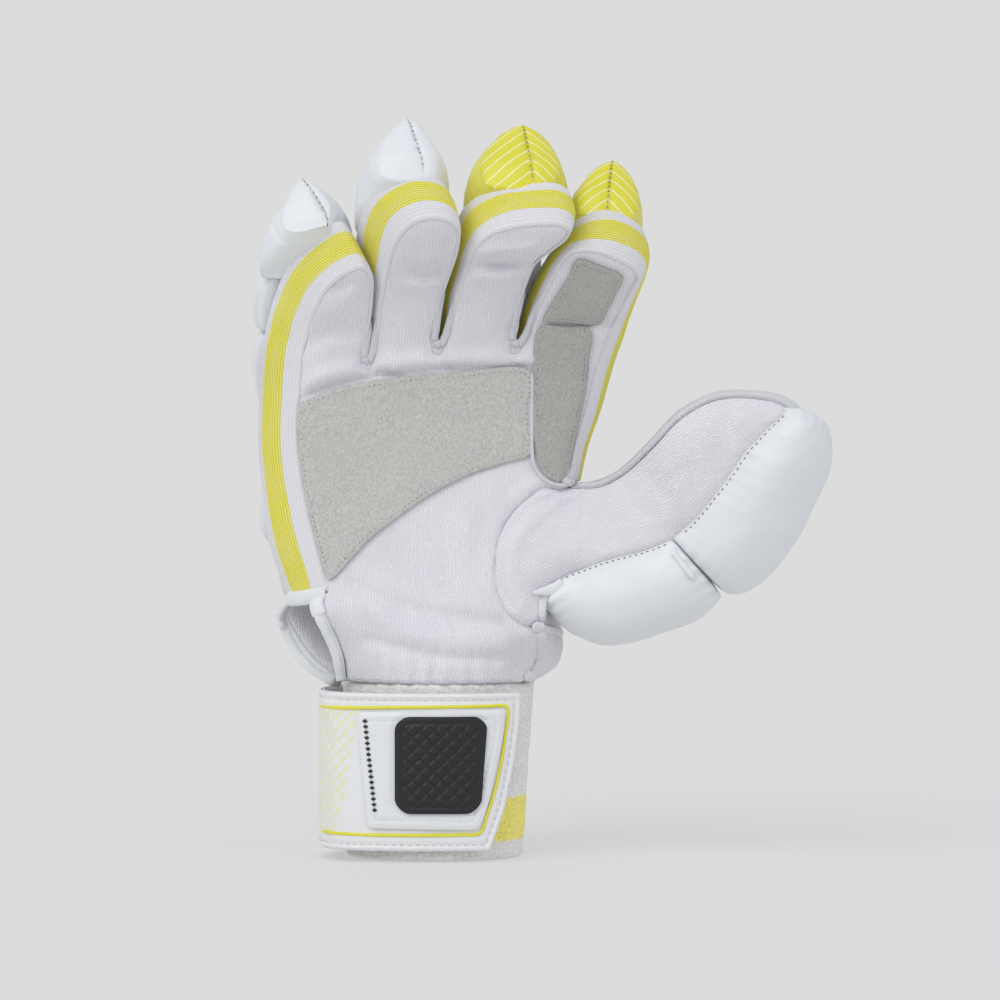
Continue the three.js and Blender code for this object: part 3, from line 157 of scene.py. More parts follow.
# ------------------------------------------------------------------ numbers
def mix(a, b, t):
    return a + (b - a) * t


def smooth(a, b, v):
    t = np.clip((v - a) / (b - a), 0, 1)
    return t * t * (3 - 2 * t)


def hermite(keys, vals, v):
    keys, vals, v = A(keys, float), A(vals, float), A(v, float)
    n = len(keys)
    i = np.searchsorted(keys[1:n - 1], v, "left")
    a, b, c, d = np.maximum(0, i - 1), i, i + 1, np.minimum(n - 1, i + 2)
    h = keys[c] - keys[b]
    t = (v - keys[b]) / h
    m0 = (vals[c] - vals[a]) / (keys[c] - keys[a]) * h
    m1 = (vals[d] - vals[b]) / (keys[d] - keys[b]) * h
    t2, t3 = t * t, t * t * t
    y = (2 * t3 - 3 * t2 + 1) * vals[b] + (t3 - 2 * t2 + t) * m0 + (3 * t2 - 2 * t3) * vals[c] + (t3 - t2) * m1
    y = np.where(t > 1, vals[c] + (t - 1) * m1, y)
    return np.where(v <= keys[0], vals[0], y)


def crom(P, t, closed=False):
    """Centripetal Catmull-Rom through the rows of P."""
    P = A(P, float)
    l = len(P)
    p = (l if closed else l - 1) * A(t, float)
    i = np.clip(np.floor(p).astype(int), 0, (l - 1) if closed else (l - 2))
    w = (p - i)[:, None]
    if closed:
        p0, p1, p2, p3 = P[(i - 1) % l], P[i % l], P[(i + 1) % l], P[(i + 2) % l]
    else:
        E = np.vstack([2 * P[0] - P[1], P, 2 * P[-1] - P[-2]])
        p0, p1, p2, p3 = E[i], E[i + 1], E[i + 2], E[i + 3]
    q = [((b - a) ** 2).sum(1) ** 0.25 for a, b in ((p0, p1), (p1, p2), (p2, p3))]
    d1 = np.where(q[1] < 1e-4, 1, q[1])[:, None]
    d0 = np.where(q[0][:, None] < 1e-4, d1, q[0][:, None])
    d2 = np.where(q[2][:, None] < 1e-4, d1, q[2][:, None])
    t1 = ((p1 - p0) / d0 - (p2 - p0) / (d0 + d1) + (p2 - p1) / d1) * d1
    t2 = ((p2 - p1) / d1 - (p3 - p1) / (d1 + d2) + (p3 - p2) / d2) * d1
    return p1 + t1 * w + (-3 * p1 + 3 * p2 - 2 * t1 - t2) * w ** 2 + (2 * p1 - 2 * p2 + t1 + t2) * w ** 3


def resample(P, n, closed=False):
    """n evenly spaced points along a polyline (n+1 rows if open)."""
    P = A(P, float)
    if closed:
        P = np.vstack([P, P[:1]])
    L = np.concatenate([[0], np.cumsum(np.linalg.norm(np.diff(P, axis=0), axis=1))])
    s = np.linspace(0, L[-1], n + 1)
    if closed:
        s = s[:-1]
    return np.stack([np.interp(s, L, P[:, k]) for k in range(P.shape[1])], 1)


def length(P):
    return np.linalg.norm(np.diff(P, axis=0), axis=1).sum()


def line(P, step, closed=False):
    Q = crom(P, np.linspace(0, 1, 40 * len(P)), closed)
    if closed:
        Q = Q[:-1]
    return resample(Q, max(2, int(round(length(Q) / step))), closed)


def stations(rows, n):
    m = 3000
    Q = crom(rows[:, :2], np.linspace(0, 1, m + 1))
    R = crom(rows[:, 2:], np.linspace(0, 1, m + 1))
    d = (np.linalg.norm(np.diff(Q, axis=0), axis=1) + np.linalg.norm(np.diff(R, axis=0), axis=1)) / 2
    L = np.concatenate([[0], np.cumsum(d)])
    s = np.linspace(0, L[-1], n + 1)
    return (np.stack([np.interp(s, L, Q[:, k]) for k in (0, 1)], 1),
            np.stack([np.interp(s, L, R[:, k]) for k in (0, 1)], 1))


def away(L, x, z):
    x = A(x, float)
    p = np.stack([x.ravel(), A(z, float).ravel()], 1)
    a, d = L[:-1], np.diff(L, axis=0)
    dd = np.maximum((d ** 2).sum(1), 1e-12)
    out = np.empty(len(p))
    for i in range(0, len(p), 3000):
        qx = p[i:i + 3000, 0, None] - a[None, :, 0]
        qz = p[i:i + 3000, 1, None] - a[None, :, 1]
        t = np.clip((qx * d[:, 0] + qz * d[:, 1]) / dd, 0, 1)
        out[i:i + 3000] = np.sqrt(((qx - t * d[:, 0]) ** 2 + (qz - t * d[:, 1]) ** 2).min(1))
    return out.reshape(x.shape)


def inside(poly, x, z):
    c = np.zeros(len(x), bool)
    j = len(poly) - 1
    for i in range(len(poly)):
        xi, zi = poly[i]
        xj, zj = poly[j]
        if zi != zj:
            c ^= ((zi > z) != (zj > z)) & (x < (xj - xi) * (z - zi) / (zj - zi) + xi)
        j = i
    return c


def noise(P, seed=0):
    """Smooth value noise, -1 to 1, one lattice cell a unit."""
    P = A(P, float)
    i = np.floor(P).astype(np.int64)
    f = P - i
    u = f * f * f * (f * (f * 6 - 15) + 10)
    total = 0
    for corner in range(8):
        o = [(corner >> k) & 1 for k in range(3)]
        h = ((i[..., 0] + o[0]) * 374761393 + (i[..., 1] + o[1]) * 668265263 + (i[..., 2] + o[2]) * 1442695041 + seed * 974634777) & 0xFFFFFFFF
        h = ((h ^ (h >> 13)) * 1274126177) & 0xFFFFFFFF
        v = ((h ^ (h >> 16)) & 0xFFFF) / 32767.5 - 1
        w = 1
        for k in range(3):
            w = w * (u[..., k] if o[k] else 1 - u[..., k])
        total = total + v * w
    return total


def fbm(P, octaves=3, seed=0):
    P = A(P, float)
    return sum(noise(P * 2 ** k, seed + k) * 0.5 ** k for k in range(octaves)) / 1.5


def unit(v):
    return v / np.maximum(np.linalg.norm(v, axis=-1, keepdims=True), 1e-12)


# ------------------------------------------------------------------ surfaces of the hand
edges = {}
for key, rows in {"LITTLE": LITTLE, "RING": RING, "MIDDLE": MIDDLE, "INDEX": INDEX, "THUMB": THUMB, "WRIST": WRIST_SIDE}.items():
    edges[key] = stations(rows, int(round(length(rows[:, :2]) / 1.4)))
hand_edge_f = np.vstack([edges[k][0] for k in ("LITTLE", "RING", "MIDDLE", "INDEX")])
hand_edge_b = np.vstack([edges[k][1] for k in ("LITTLE", "RING", "MIDDLE", "INDEX")])
thumb_edge_f, thumb_edge_b = edges["THUMB"]
wrist_f, wrist_b = edges["WRIST"]
slit_f, slit_b = line(SLIT_FRONT, 1.4), line(SLIT_BACK, 1.4)
seam_f, seam_b = line(SEAM_FRONT, 1.4), line(SEAM_BACK, 1.4)


def cuff_depth(x):
    u = (x - CUFF_LEAN) / (CUFF_RX_TOP + 2.2)
    return CUFF_RY * np.sqrt(np.maximum(0.03, 1 - u * u))


def front_base(x, z):
    y = hermite(PROFILE[:, 0], PROFILE[:, 1], z)
    for fx, fz, rx, rz, d in FOLDS:
        y = y + d * np.exp(-((x - fx) / rx) ** 2 - ((z - fz) / rz) ** 2)
    return mix(-cuff_depth(x), y, smooth(62, 92, z))


def back_base(x, z):
    k = mix(0.0026, 0.0011, smooth(180, 215, z))
    y = hermite(PROFILE[:, 0], PROFILE[:, 2], z) - k * (x - 5) ** 2
    return mix(cuff_depth(x), y, smooth(62, 92, z))


def along(x, z):
    return (x - 25.6) * 0.875 + (z - 108.7) * 0.485


def rounding(d, drop, reach):
    return drop * (1 - np.minimum(1, d / reach)) ** 2


def hand_front(x, z):
    return front_base(x, z) + rounding(away(hand_edge_f, x, z), EDGE_DROP, EDGE_REACH)


def hand_back(x, z):
    return back_base(x, z) - rounding(away(hand_edge_b, x, z), EDGE_DROP, EDGE_REACH)


def thumb_front(x, z):
    d = away(seam_f, x, z)
    k = smooth(0, 25, d)
    y = mix(front_base(x, z), hermite(THUMB_PROFILE[:, 0], THUMB_PROFILE[:, 1], along(x, z)), smooth(0, 38, d))
    return y + rounding(away(thumb_edge_f, x, z), mix(EDGE_DROP, THUMB_DROP, k), mix(EDGE_REACH, THUMB_REACH, k))


def thumb_back(x, z):
    d = away(seam_b, x, z)
    k = smooth(0, 25, d)
    y = mix(back_base(x, z), hermite(THUMB_PROFILE[:, 0], THUMB_PROFILE[:, 2], along(x, z)), smooth(0, 38, d))
    return y - rounding(away(thumb_edge_b, x, z), mix(EDGE_DROP, THUMB_DROP, k), mix(EDGE_REACH, THUMB_REACH, k))


def slope(f, x, z, h=0.05):
    return (f(x + h, z) - f(x - h, z)) / (2 * h), (f(x, z + h) - f(x, z - h)) / (2 * h)


def on_surface(f, side, x, z, off):
    x, z = A(x, float), A(z, float)
    gx, gz = slope(f, x, z)
    n = unit(np.stack([side * -gx, side * np.ones_like(gx), side * -gz], -1))
    return np.stack([x, f(x, z), z], -1) + n * A(off)[..., None], n


# ------------------------------------------------------------------ creases and swellings the cloth shows
# points x, z; depth (+ goes in, - swells out); width
PALM_MARKS = [
    ([[-47, 172], [-37, 175.5], [-23, 178.5], [-8, 180], [10, 181], [34, 181]], -1.5, 3.0),
    ([[-48, 167], [-37.5, 171.3], [-23, 174.6], [-8.5, 176.6], [9.5, 178], [35, 178.2]], 0.9, 1.1),
    ([[-25, 180], [-20, 176.5], [-12, 174]], 0.8, 1.6),
    ([[0.5, 184], [2, 180], [6, 177]], 0.8, 1.6),
    ([[28.5, 184], [29, 180], [32, 178]], 0.8, 1.6),
    ([[-41, 210], [-36, 207.5], [-31, 208.5]], 1.6, 2.6),
    ([[-8, 213], [-1.5, 212], [4, 214]], 1.5, 2.2),
    ([[-10, 208.5], [-2, 206.5], [4, 208]], -1.1, 2.4),
    ([[15, 216], [24, 215], [33, 216.5], [38, 218.5]], 1.6, 1.7),
    ([[13, 219.5], [24, 219.5], [36, 220.8]], -1.3, 2.2),
    ([[12, 211.5], [22, 210.5], [31, 212.5]], -1.2, 2.4),
    ([[-44, 187], [-36, 190.5], [-27, 189]], 0.9, 3.2),
    ([[-30, 100], [-12, 92], [8, 88], [24, 86]], 0.7, 2.6),
    ([[-26, 92], [-8, 82], [14, 78], [34, 80]], -0.9, 4.0),
    ([[-24, 80], [0, 74], [26, 73]], 0.8, 2.0),
    ([[20, 132], [12, 122], [8, 108], [11, 94]], -0.9, 6.0),
    ([[60, 200], [52, 192.8], [40, 193.6]], 0.5, 1.2),
]
THUMB_MARKS = [
    ([[28, 92], [24.5, 100], [24.4, 109], [26.5, 117], [30.5, 123.5], [36, 128.5], [43, 131]], 0.9, 1.2),
    ([[32, 94], [28.5, 102], [28.5, 110], [31, 117], [36, 123], [43, 127]], -0.9, 2.6),
    ([[50, 130], [56, 122], [57, 113]], 0.7, 4.2),
    ([[62, 131], [70, 124], [72, 116]], -0.7, 5.0),
    ([[74, 141], [82, 134], [88, 125], [90, 119]], 0.8, 3.6),
    ([[88, 152], [95, 143], [99, 133]], -0.6, 4.6),
    ([[60, 110], [74, 113], [84, 116]], -0.7, 3.0),
    ([[104, 159], [112, 150], [114, 143]], 0.5, 3.4),
]
BACK_MARKS = [([[-50, 114], [-20, 115.5], [10, 115.5], [36, 113]], 0.8, 2.2)]


def marks(table, edge, x, z):
    y = np.zeros_like(x)
    for pts, d, w in table:
        y = y + 1.5 * d * np.exp(-(away(line(A(pts, float), 2.0), x, z) / w) ** 2)
    return y * smooth(0.5, 5, away(edge, x, z))


def soft_noise(x, z, amount, sx, sz, seed):
    return amount * fbm(np.stack([x / sx, z / sz, np.full_like(x, 0.37)], -1), 3, seed)


def palm_cloth(x, z):
    edge = np.vstack([hand_edge_f])
    y = hand_front(x, z) + marks(PALM_MARKS, edge, x, z)
    y = y + soft_noise(x, z, 0.42, 13, 19, 3) * smooth(0, 7, away(edge, x, z))
    # gathers where the cloth enters the cuff
    y = y + 0.55 * np.sin(x * 0.95 + 2.0 * noise(np.stack([x / 9, z / 30, x * 0], -1), 5)) * smooth(84, 67, z)
    # the seam where the thumb is set in pulls the cloth into a groove
    return y + 0.9 * np.exp(-(away(seam_f, x, z) / 1.3) ** 2) - 0.5 * np.exp(-((away(seam_f, x, z) - 3.2) / 1.8) ** 2)


def back_cloth(x, z):
    return hand_back(x, z) - marks(BACK_MARKS, hand_edge_b, x, z) - soft_noise(x, z, 0.35, 16, 22, 9) * smooth(0, 7, away(hand_edge_b, x, z))


def thumb_front_cloth(x, z):
    d = away(seam_f, x, z)
    y = thumb_front(x, z) + marks(THUMB_MARKS, thumb_edge_f, x, z)
    y = y + soft_noise(along(x, z), z - 0.5 * x, 0.4, 17, 12, 13) * smooth(0, 7, away(thumb_edge_f, x, z))
    return y + 0.9 * np.exp(-(d / 1.2) ** 2) - 0.9 * np.exp(-((d - 3.4) / 2.0) ** 2)


def thumb_back_cloth(x, z):
    return thumb_back(x, z) - soft_noise(x, z, 0.35, 14, 14, 17) * smooth(0, 7, away(thumb_edge_b, x, z))


# ------------------------------------------------------------------ meshes
def make(name, V, faces, mat, uv=None, attrs=None, merge=0):
    V = (A(V, float) + [OX, OY, 0]) * 0.001
    vol = 0
    for F in faces:
        F = A(F)
        for k in range(1, F.shape[1] - 1):
            vol += np.einsum("ij,ij->i", V[F[:, 0]], np.cross(V[F[:, k]], V[F[:, k + 1]])).sum()
    if vol < 0:
        faces = [A(F)[:, ::-1] for F in faces]
    sizes = np.concatenate([np.full(len(F), A(F).shape[1]) for F in faces])
    loops = np.concatenate([A(F).ravel() for F in faces]).astype(np.int32)
    me = bpy.data.meshes.new(name)
    me.vertices.add(len(V))
    me.vertices.foreach_set("co", V.ravel())
    me.loops.add(len(loops))
    me.loops.foreach_set("vertex_index", loops)
    me.polygons.add(len(sizes))
    me.polygons.foreach_set("loop_start", np.concatenate([[0], np.cumsum(sizes)[:-1]]).astype(np.int32))
    me.polygons.foreach_set("loop_total", sizes.astype(np.int32))
    me.polygons.foreach_set("use_smooth", np.ones(len(sizes), bool))
    if uv is not None:
        me.uv_layers.new(name="cloth").data.foreach_set("uv", A(uv, float)[loops].ravel())
    for key, values in (attrs or {}).items():
        me.attributes.new(key, "FLOAT", "POINT").data.foreach_set("value", A(values, float))
    me.update(calc_edges=True)
    me.validate()
    if merge:
        bm = bmesh.new()
        bm.from_mesh(me)
        bmesh.ops.remove_doubles(bm, verts=bm.verts, dist=merge * 0.001)
        bmesh.ops.dissolve_degenerate(bm, dist=1e-7, edges=bm.edges)
        bm.to_mesh(me)
        bm.free()
    o = bpy.data.objects.new(name, me)
    bpy.context.scene.collection.objects.link(o)
    me.materials.append(mat)
    return o


def piece(o, nodes=()):
    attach(o, "root")
    if nodes:
        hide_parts(*nodes)
    return o


def cut_sheet(o, width, length_, rests_on):
    """Returns the sewn sheet as it is; the size of its cut, in mm, is not used."""
    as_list(rests_on)
    return o


def cut_from(o, loop, rests_on, ease=1.06):
    """The cut is the sewing outline, with some ease for the curve of the hand."""
    loop = A(loop, float)
    x, z = loop[:, 0], loop[:, 1]
    area = abs(np.sum(x * np.roll(z, -1) - np.roll(x, -1) * z)) / 2
    return cut_sheet(o, np.ptp(x) * ease, np.ptp(z) * ease, rests_on)


def tube_faces(R, C, closed_r=False):
    i, j = np.meshgrid(np.arange(R if closed_r else R - 1), np.arange(C), indexing="ij")
    a, b = i * C + j, i * C + (j + 1) % C
    c, d = ((i + 1) % R) * C + (j + 1) % C, ((i + 1) % R) * C + j
    return np.stack([a, b, c, d], -1).reshape(-1, 4)


def grid_faces(R, C):
    i, j = np.meshgrid(np.arange(R - 1), np.arange(C - 1), indexing="ij")
    a = i * C + j
    return np.stack([a, a + 1, a + C + 1, a + C], -1).reshape(-1, 4)


def cap_faces(start, C, k, flip):
    j = np.arange(C)
    f = np.stack([start + j, start + (j + 1) % C, np.full(C, k)], -1)
    return f[:, ::-1] if flip else f


def mesh_inside(outline, step):
    """Triangles over an outline: its own points and a triangular lattice inside."""
    n = len(outline)
    lo, hi = outline.min(0), outline.max(0)
    rows = np.arange(lo[1] + step * 0.4, hi[1], step * 0.866)
    cols = np.arange(lo[0], hi[0] + step, step)
    X, Z = np.meshgrid(cols, rows)
    X = X + (np.arange(len(rows)) % 2)[:, None] * step / 2
    x, z = X.ravel(), Z.ravel()
    keep = inside(outline, x, z)
    x, z = x[keep], z[keep]
    keep = away(np.vstack([outline, outline[:1]]), x, z) > step * 0.55
    pts = np.vstack([outline, np.stack([x[keep], z[keep]], 1)])
    res = delaunay_2d_cdt([Vector(p) for p in pts], [], [list(range(n))], 1, 1e-6, False)
    if len(res[0]) != len(pts):
        pts = A([tuple(v) for v in res[0]])
        n = None
    T = A([list(f) for f in res[2]])
    mid = pts[T].mean(1)
    area = np.abs(np.cross(pts[T[:, 1]] - pts[T[:, 0]], pts[T[:, 2]] - pts[T[:, 0]]))
    T = T[inside(pts[:len(outline)], mid[:, 0], mid[:, 1]) & (area > 1e-7)]
    return pts, T, n


def panel(name, outline, f, side, outer, inner, step, mat, uv=None, lift=None, attrs=None, rim=0.3):
    area = 0.5 * np.sum(outline[:, 0] * np.roll(outline[:, 1], -1) - np.roll(outline[:, 0], -1) * outline[:, 1])
    if area < 0:
        outline = outline[::-1]
    P2, T, n = mesh_inside(outline, step)
    if n is None:
        raise RuntimeError("outline of " + name + " crosses itself")
    P = np.stack([P2[:, 0], f(P2[:, 0], P2[:, 1]), P2[:, 1]], 1)
    c = np.cross(P[T[:, 1]] - P[T[:, 0]], P[T[:, 2]] - P[T[:, 0]])
    if c[:, 1].sum() * side < 0:
        c = -c
    N = np.zeros_like(P)
    for k in range(3):
        np.add.at(N, T[:, k], c)
    N = unit(N)
    e = np.roll(P[:n], -1, 0) - np.roll(P[:n], 1, 0)
    out = unit(np.cross(unit(e), N[:n]))
    centre = P[:n].mean(0)
    if np.einsum("ij,ij->i", out, P[:n] - centre).mean() < 0:
        out = -out
    extra = 0 if lift is None else lift(P2[:, 0], P2[:, 1])
    O = P + N * (A(outer + extra).reshape(-1, 1) if lift is not None else outer)
    I = P + N * inner
    M = P[:n] + N[:n] * (outer + inner) / 2 + out * rim * abs(outer - inner)
    m = len(P)
    a = np.arange(n)
    b = (a + 1) % n
    rim1 = np.stack([b, a, a + 2 * m, b + 2 * m], 1)
    rim2 = np.stack([b + 2 * m, a + 2 * m, a + m, b + m], 1)
    V = np.vstack([O, I, M])
    if uv is None:
        W = P2
    else:
        W = uv(P2)
    o = make(name, V, [T, T[:, ::-1] + m, rim1, rim2], mat, uv=np.vstack([W, W, W[:n]]), attrs=attrs and attrs(V))
    return o


def untangle(P):
    """Cuts off the small loops where an outline crosses itself."""
    for _ in range(60):
        n = len(P)
        a, b = P, np.roll(P, -1, 0)
        d = b - a
        hit = None
        for i in range(n):
            r = d[i]
            w = a - a[i]
            den = r[0] * d[:, 1] - r[1] * d[:, 0]
            den = np.where(np.abs(den) < 1e-12, 1e-12, den)
            t = (w[:, 0] * d[:, 1] - w[:, 1] * d[:, 0]) / den
            u = (w[:, 0] * r[1] - w[:, 1] * r[0]) / den
            ok = (t > 0) & (t < 1) & (u > 0) & (u < 1)
            ok[[i, (i + 1) % n, (i - 1) % n]] = False
            if ok.any():
                j = int(np.argmax(ok))
                hit = (i, j, a[i] + r * t[j])
                break
        if hit is None:
            return P
        i, j, x = hit
        if (j - i) % n < n / 2:
            keep = [k % n for k in range(j + 1, j + 1 + n - ((j - i) % n))]
        else:
            keep = [k % n for k in range(i + 1, i + 1 + n - ((i - j) % n))]
        P = np.vstack([P[keep], x])
        gap = np.linalg.norm(P - np.roll(P, 1, 0), axis=1)
        P = P[gap > 0.3]
    return P


def inset(parts, step=1.25):
    loop, wid = [], []
    for L, w in parts:
        for p in A(L, float):
            loop.append(p)
            wid.append(w)
    loop, wid = A(loop), A(wid, float)
    if 0.5 * np.sum(loop[:, 0] * np.roll(loop[:, 1], -1) - np.roll(loop[:, 0], -1) * loop[:, 1]) < 0:
        loop, wid = loop[::-1], wid[::-1]
    u = unit(loop - np.roll(loop, 1, 0))
    v = unit(np.roll(loop, -1, 0) - loop)
    nrm = np.stack([-u[:, 1] - v[:, 1], u[:, 0] + v[:, 0]], 1)
    l = np.linalg.norm(nrm, axis=1)
    p = loop + nrm / np.maximum(l, 1e-9)[:, None] * (wid / np.maximum(0.6, l / 2))[:, None]
    ok = np.ones(len(p), bool)
    for L, w in parts:
        L = A(L, float)
        if w > 0 and len(L) > 1:
            ok &= away(L, p[:, 0], p[:, 1]) >= w * 0.97
    p = p[ok]
    out = [p[0]]
    for q in p[1:]:
        if np.linalg.norm(q - out[-1]) > 0.5:
            out.append(q)
    if np.linalg.norm(out[-1] - out[0]) < 0.5:
        out.pop()
    out = untangle(A(out))
    return untangle(resample(out, int(round(length(out) / step)), closed=True))


# ------------------------------------------------------------------ materials
def srgb(r, g, b):
    def f(c):
        c /= 255
        return c / 12.92 if c <= 0.04045 else ((c + 0.055) / 1.055) ** 2.4
    return (f(r), f(g), f(b), 1)


class Look:
    def __init__(self, name, colour, rough=0.9, **sockets):
        self.m = bpy.data.materials.new(name)
        self.m.use_nodes = True
        self.t = self.m.node_tree
        self.b = self.t.nodes["Principled BSDF"]
        self.b.inputs["Base Color"].default_value = colour
        self.b.inputs["Roughness"].default_value = rough
        for k, v in sockets.items():
            self.b.inputs[k.replace("_", " ")].default_value = v
        self.colour = colour

    def put(self, sock, v):
        if v is None:
            return
        if hasattr(v, "is_output"):
            self.t.links.new(v, sock)
        else:
            sock.default_value = v

    def math(self, op, a, b=None, c=None, clamp=False):
        n = self.t.nodes.new("ShaderNodeMath")
        n.operation = op
        n.use_clamp = clamp
        for k, v in enumerate((a, b, c)):
            self.put(n.inputs[k], v)
        return n.outputs[0]

    def mix(self, fac, a, b):
        n = self.t.nodes.new("ShaderNodeMix")
        n.data_type = "RGBA"
        self.put(n.inputs[0], fac)
        self.put(n.inputs[6], a)
        self.put(n.inputs[7], b)
        return n.outputs[2]

    def uv(self):
        n = self.t.nodes.new("ShaderNodeUVMap")
        n.uv_map = "cloth"
        s = self.t.nodes.new("ShaderNodeSeparateXYZ")
        self.t.links.new(n.outputs[0], s.inputs[0])
        return n.outputs[0], s.outputs[0], s.outputs[1]

    def obj(self):
        return self.t.nodes.new("ShaderNodeTexCoord").outputs["Object"]

    def attr(self, name):
        n = self.t.nodes.new("ShaderNodeAttribute")
        n.attribute_name = name
        return n.outputs["Fac"]

    def noise(self, vec, scale, detail=2.0, rough=0.5):
        n = self.t.nodes.new("ShaderNodeTexNoise")
        self.put(n.inputs["Vector"], vec)
        n.inputs["Scale"].default_value = scale
        n.inputs["Detail"].default_value = detail
        n.inputs["Roughness"].default_value = rough
        return n.outputs[0]

    def voronoi(self, vec, scale, feature="F1"):
        n = self.t.nodes.new("ShaderNodeTexVoronoi")
        n.feature = feature
        self.put(n.inputs["Vector"], vec)
        n.inputs["Scale"].default_value = scale
        return n.outputs["Distance"]

    def ramp(self, v, a, b):
        """0 below a, 1 above b, smooth between."""
        n = self.t.nodes.new("ShaderNodeMapRange")
        n.interpolation_type = "SMOOTHSTEP"
        n.inputs["From Min"].default_value = a
        n.inputs["From Max"].default_value = b
        self.put(n.inputs["Value"], v)
        return n.outputs[0]

    def scale(self, vec, x, y, z=1):
        n = self.t.nodes.new("ShaderNodeVectorMath")
        n.operation = "MULTIPLY"
        self.put(n.inputs[0], vec)
        n.inputs[1].default_value = (x, y, z)
        return n.outputs[0]

    def bump(self, height, distance, strength=1.0, normal=None):
        n = self.t.nodes.new("ShaderNodeBump")
        n.inputs["Strength"].default_value = strength
        n.inputs["Distance"].default_value = distance * 0.001
        self.put(n.inputs["Height"], height)
        if normal is not None:
            self.put(n.inputs["Normal"], normal)
        return n.outputs[0]

    def set(self, colour=None, rough=None, normal=None):
        self.put(self.b.inputs["Base Color"], colour)
        self.put(self.b.inputs["Roughness"], rough)
        self.put(self.b.inputs["Normal"], normal)
        return self.m


def shade(c, k):
    return (c[0] * k, c[1] * k, c[2] * k, 1)


def knit_look(name, colour, wale=0.95, course=0.8):
    """Plain knit: columns of small V stitches, u across the columns, v along them, in mm."""
    L = Look(name, colour, 0.95, Sheen_Weight=0.25, Sheen_Roughness=0.5, Specular_IOR_Level=0.25)
    vec, u, v = L.uv()
    wob = L.math("MULTIPLY", L.math("SUBTRACT", L.noise(L.scale(vec, 0.13, 0.13), 1.0, 2), 0.5), 3.0)
    wob = L.math("ADD", wob, L.math("MULTIPLY", L.math("SUBTRACT", L.noise(L.scale(vec, 0.8, 0.5), 1.0, 2), 0.5), 0.9))
    a = L.math("FRACT", L.math("DIVIDE", L.math("ADD", u, wob), wale))
    tri = L.math("ABSOLUTE", L.math("SUBTRACT", L.math("MULTIPLY", a, 2.0), 1.0))
    rows = L.math("SINE", L.math("MULTIPLY", L.math("ADD", L.math("DIVIDE", v, course), L.math("MULTIPLY", tri, 0.55)), 6.2832))
    h = L.math("SUBTRACT", 1.0, L.math("POWER", tri, 2.2))
    h = L.math("ADD", L.math("MULTIPLY", h, 0.75), L.math("MULTIPLY", rows, 0.36))
    fuzz = L.noise(L.scale(vec, 1.0, 1.0), 2.6, 3, 0.6)
    h = L.math("ADD", h, L.math("MULTIPLY", fuzz, 0.8))
    big = L.ramp(L.noise(L.scale(vec, 0.045, 0.045), 1.0, 3), 0.3, 0.75)
    # painted shade and light: the colour is darker down in the stitch grooves (low h) and a little lighter on top of
    # the stitches
    painted_shade_col = L.mix(L.ramp(h, 0.25, 1.15), shade(colour, 0.80), shade(colour, 1.03))
    col = L.mix(L.math("MULTIPLY", big, 0.35), painted_shade_col, shade(srgb(226, 222, 232), 0.93))
    return L.set(colour=col, normal=L.bump(h, 0.16, 0.9))


def elastic_look(name, white, yellow):
    """Ribbed elastic: u along the band in mm, v across it in ribs. The attribute band is 1 on the coloured middle."""
    L = Look(name, yellow, 0.8, Sheen_Weight=0.15, Sheen_Roughness=0.5, Specular_IOR_Level=0.3)
    vec, u, v = L.uv()
    band = L.ramp(L.attr("band"), 0.4, 0.6)
    fr = L.math("FRACT", v)
    rib = L.math("SINE", L.math("MULTIPLY", fr, 3.1416))
    diag = L.math("SINE", L.math("MULTIPLY", L.math("ADD", L.math("DIVIDE", u, 0.85), L.math("MULTIPLY", v, 0.5)), 6.2832))
    groove = L.math("SUBTRACT", 1.0, L.ramp(rib, 0.12, 0.55))
    dots = L.math("MULTIPLY", L.math("SUBTRACT", 1.0, L.ramp(rib, 0.2, 0.85)), L.ramp(diag, -0.1, 0.7))
    y = L.mix(L.math("MULTIPLY", dots, 0.85), yellow, srgb(150, 134, 46))
    # painted shade: the yellow and the white are darkened in the grooves between the ribs
    y = L.mix(L.math("MULTIPLY", groove, 0.22), y, srgb(206, 198, 84))
    w = L.mix(L.math("MULTIPLY", groove, 0.28), white, shade(white, 0.66))
    # painted shade: darker V-shaped knit grooves drawn over the white margins
    vee = L.math("SINE", L.math("MULTIPLY", L.math("ADD", L.math("DIVIDE", u, 1.15), L.math("MULTIPLY", L.math("ABSOLUTE", L.math("SUBTRACT", fr, 0.5)), 1.3)), 6.2832))
    w = L.mix(L.math("MULTIPLY", L.ramp(vee, 0.1, 0.9), 0.26), w, shade(white, 0.74))
    base = L.mix(band, w, y)
    big = L.ramp(L.noise(L.scale(vec, 0.08, 0.3), 1.0, 2), 0.35, 0.7)
    base = L.mix(L.math("MULTIPLY", big, 0.12), base, shade(white, 0.95))
    h = L.math("ADD", rib, L.math("MULTIPLY", diag, 0.25))
    return L.set(colour=base, normal=L.bump(h, 0.14, 0.8))


def suede_look(name, colour):
    L = Look(name, colour, 1.0, Sheen_Weight=0.5, Sheen_Roughness=0.6, Specular_IOR_Level=0.12)
    vec = L.obj()
    fine = L.noise(vec, 1700, 3, 0.7)
    nap = L.noise(L.scale(vec, 1, 1, 0.75), 1250, 4, 0.75)
    mid = L.noise(vec, 120, 3, 0.6)
    big = L.noise(vec, 28, 2, 0.5)
    k = L.ramp(nap, 0.32, 0.68)
    col = L.mix(k, shade(colour, 0.74), shade(colour, 1.12))
    col = L.mix(L.math("MULTIPLY", L.ramp(fine, 0.45, 0.62), 0.30), col, shade(colour, 1.25))
    col = L.mix(L.math("MULTIPLY", L.ramp(mid, 0.40, 0.62), 0.08), col, shade(colour, 0.86))
    col = L.mix(L.math("MULTIPLY", L.ramp(big, 0.40, 0.65), 0.12), col, shade(colour, 1.12))
    h = L.math("ADD", L.math("MULTIPLY", nap, 1.0), L.math("MULTIPLY", fine, 0.35))
    return L.set(colour=col, normal=L.bump(h, 0.55, 0.8))


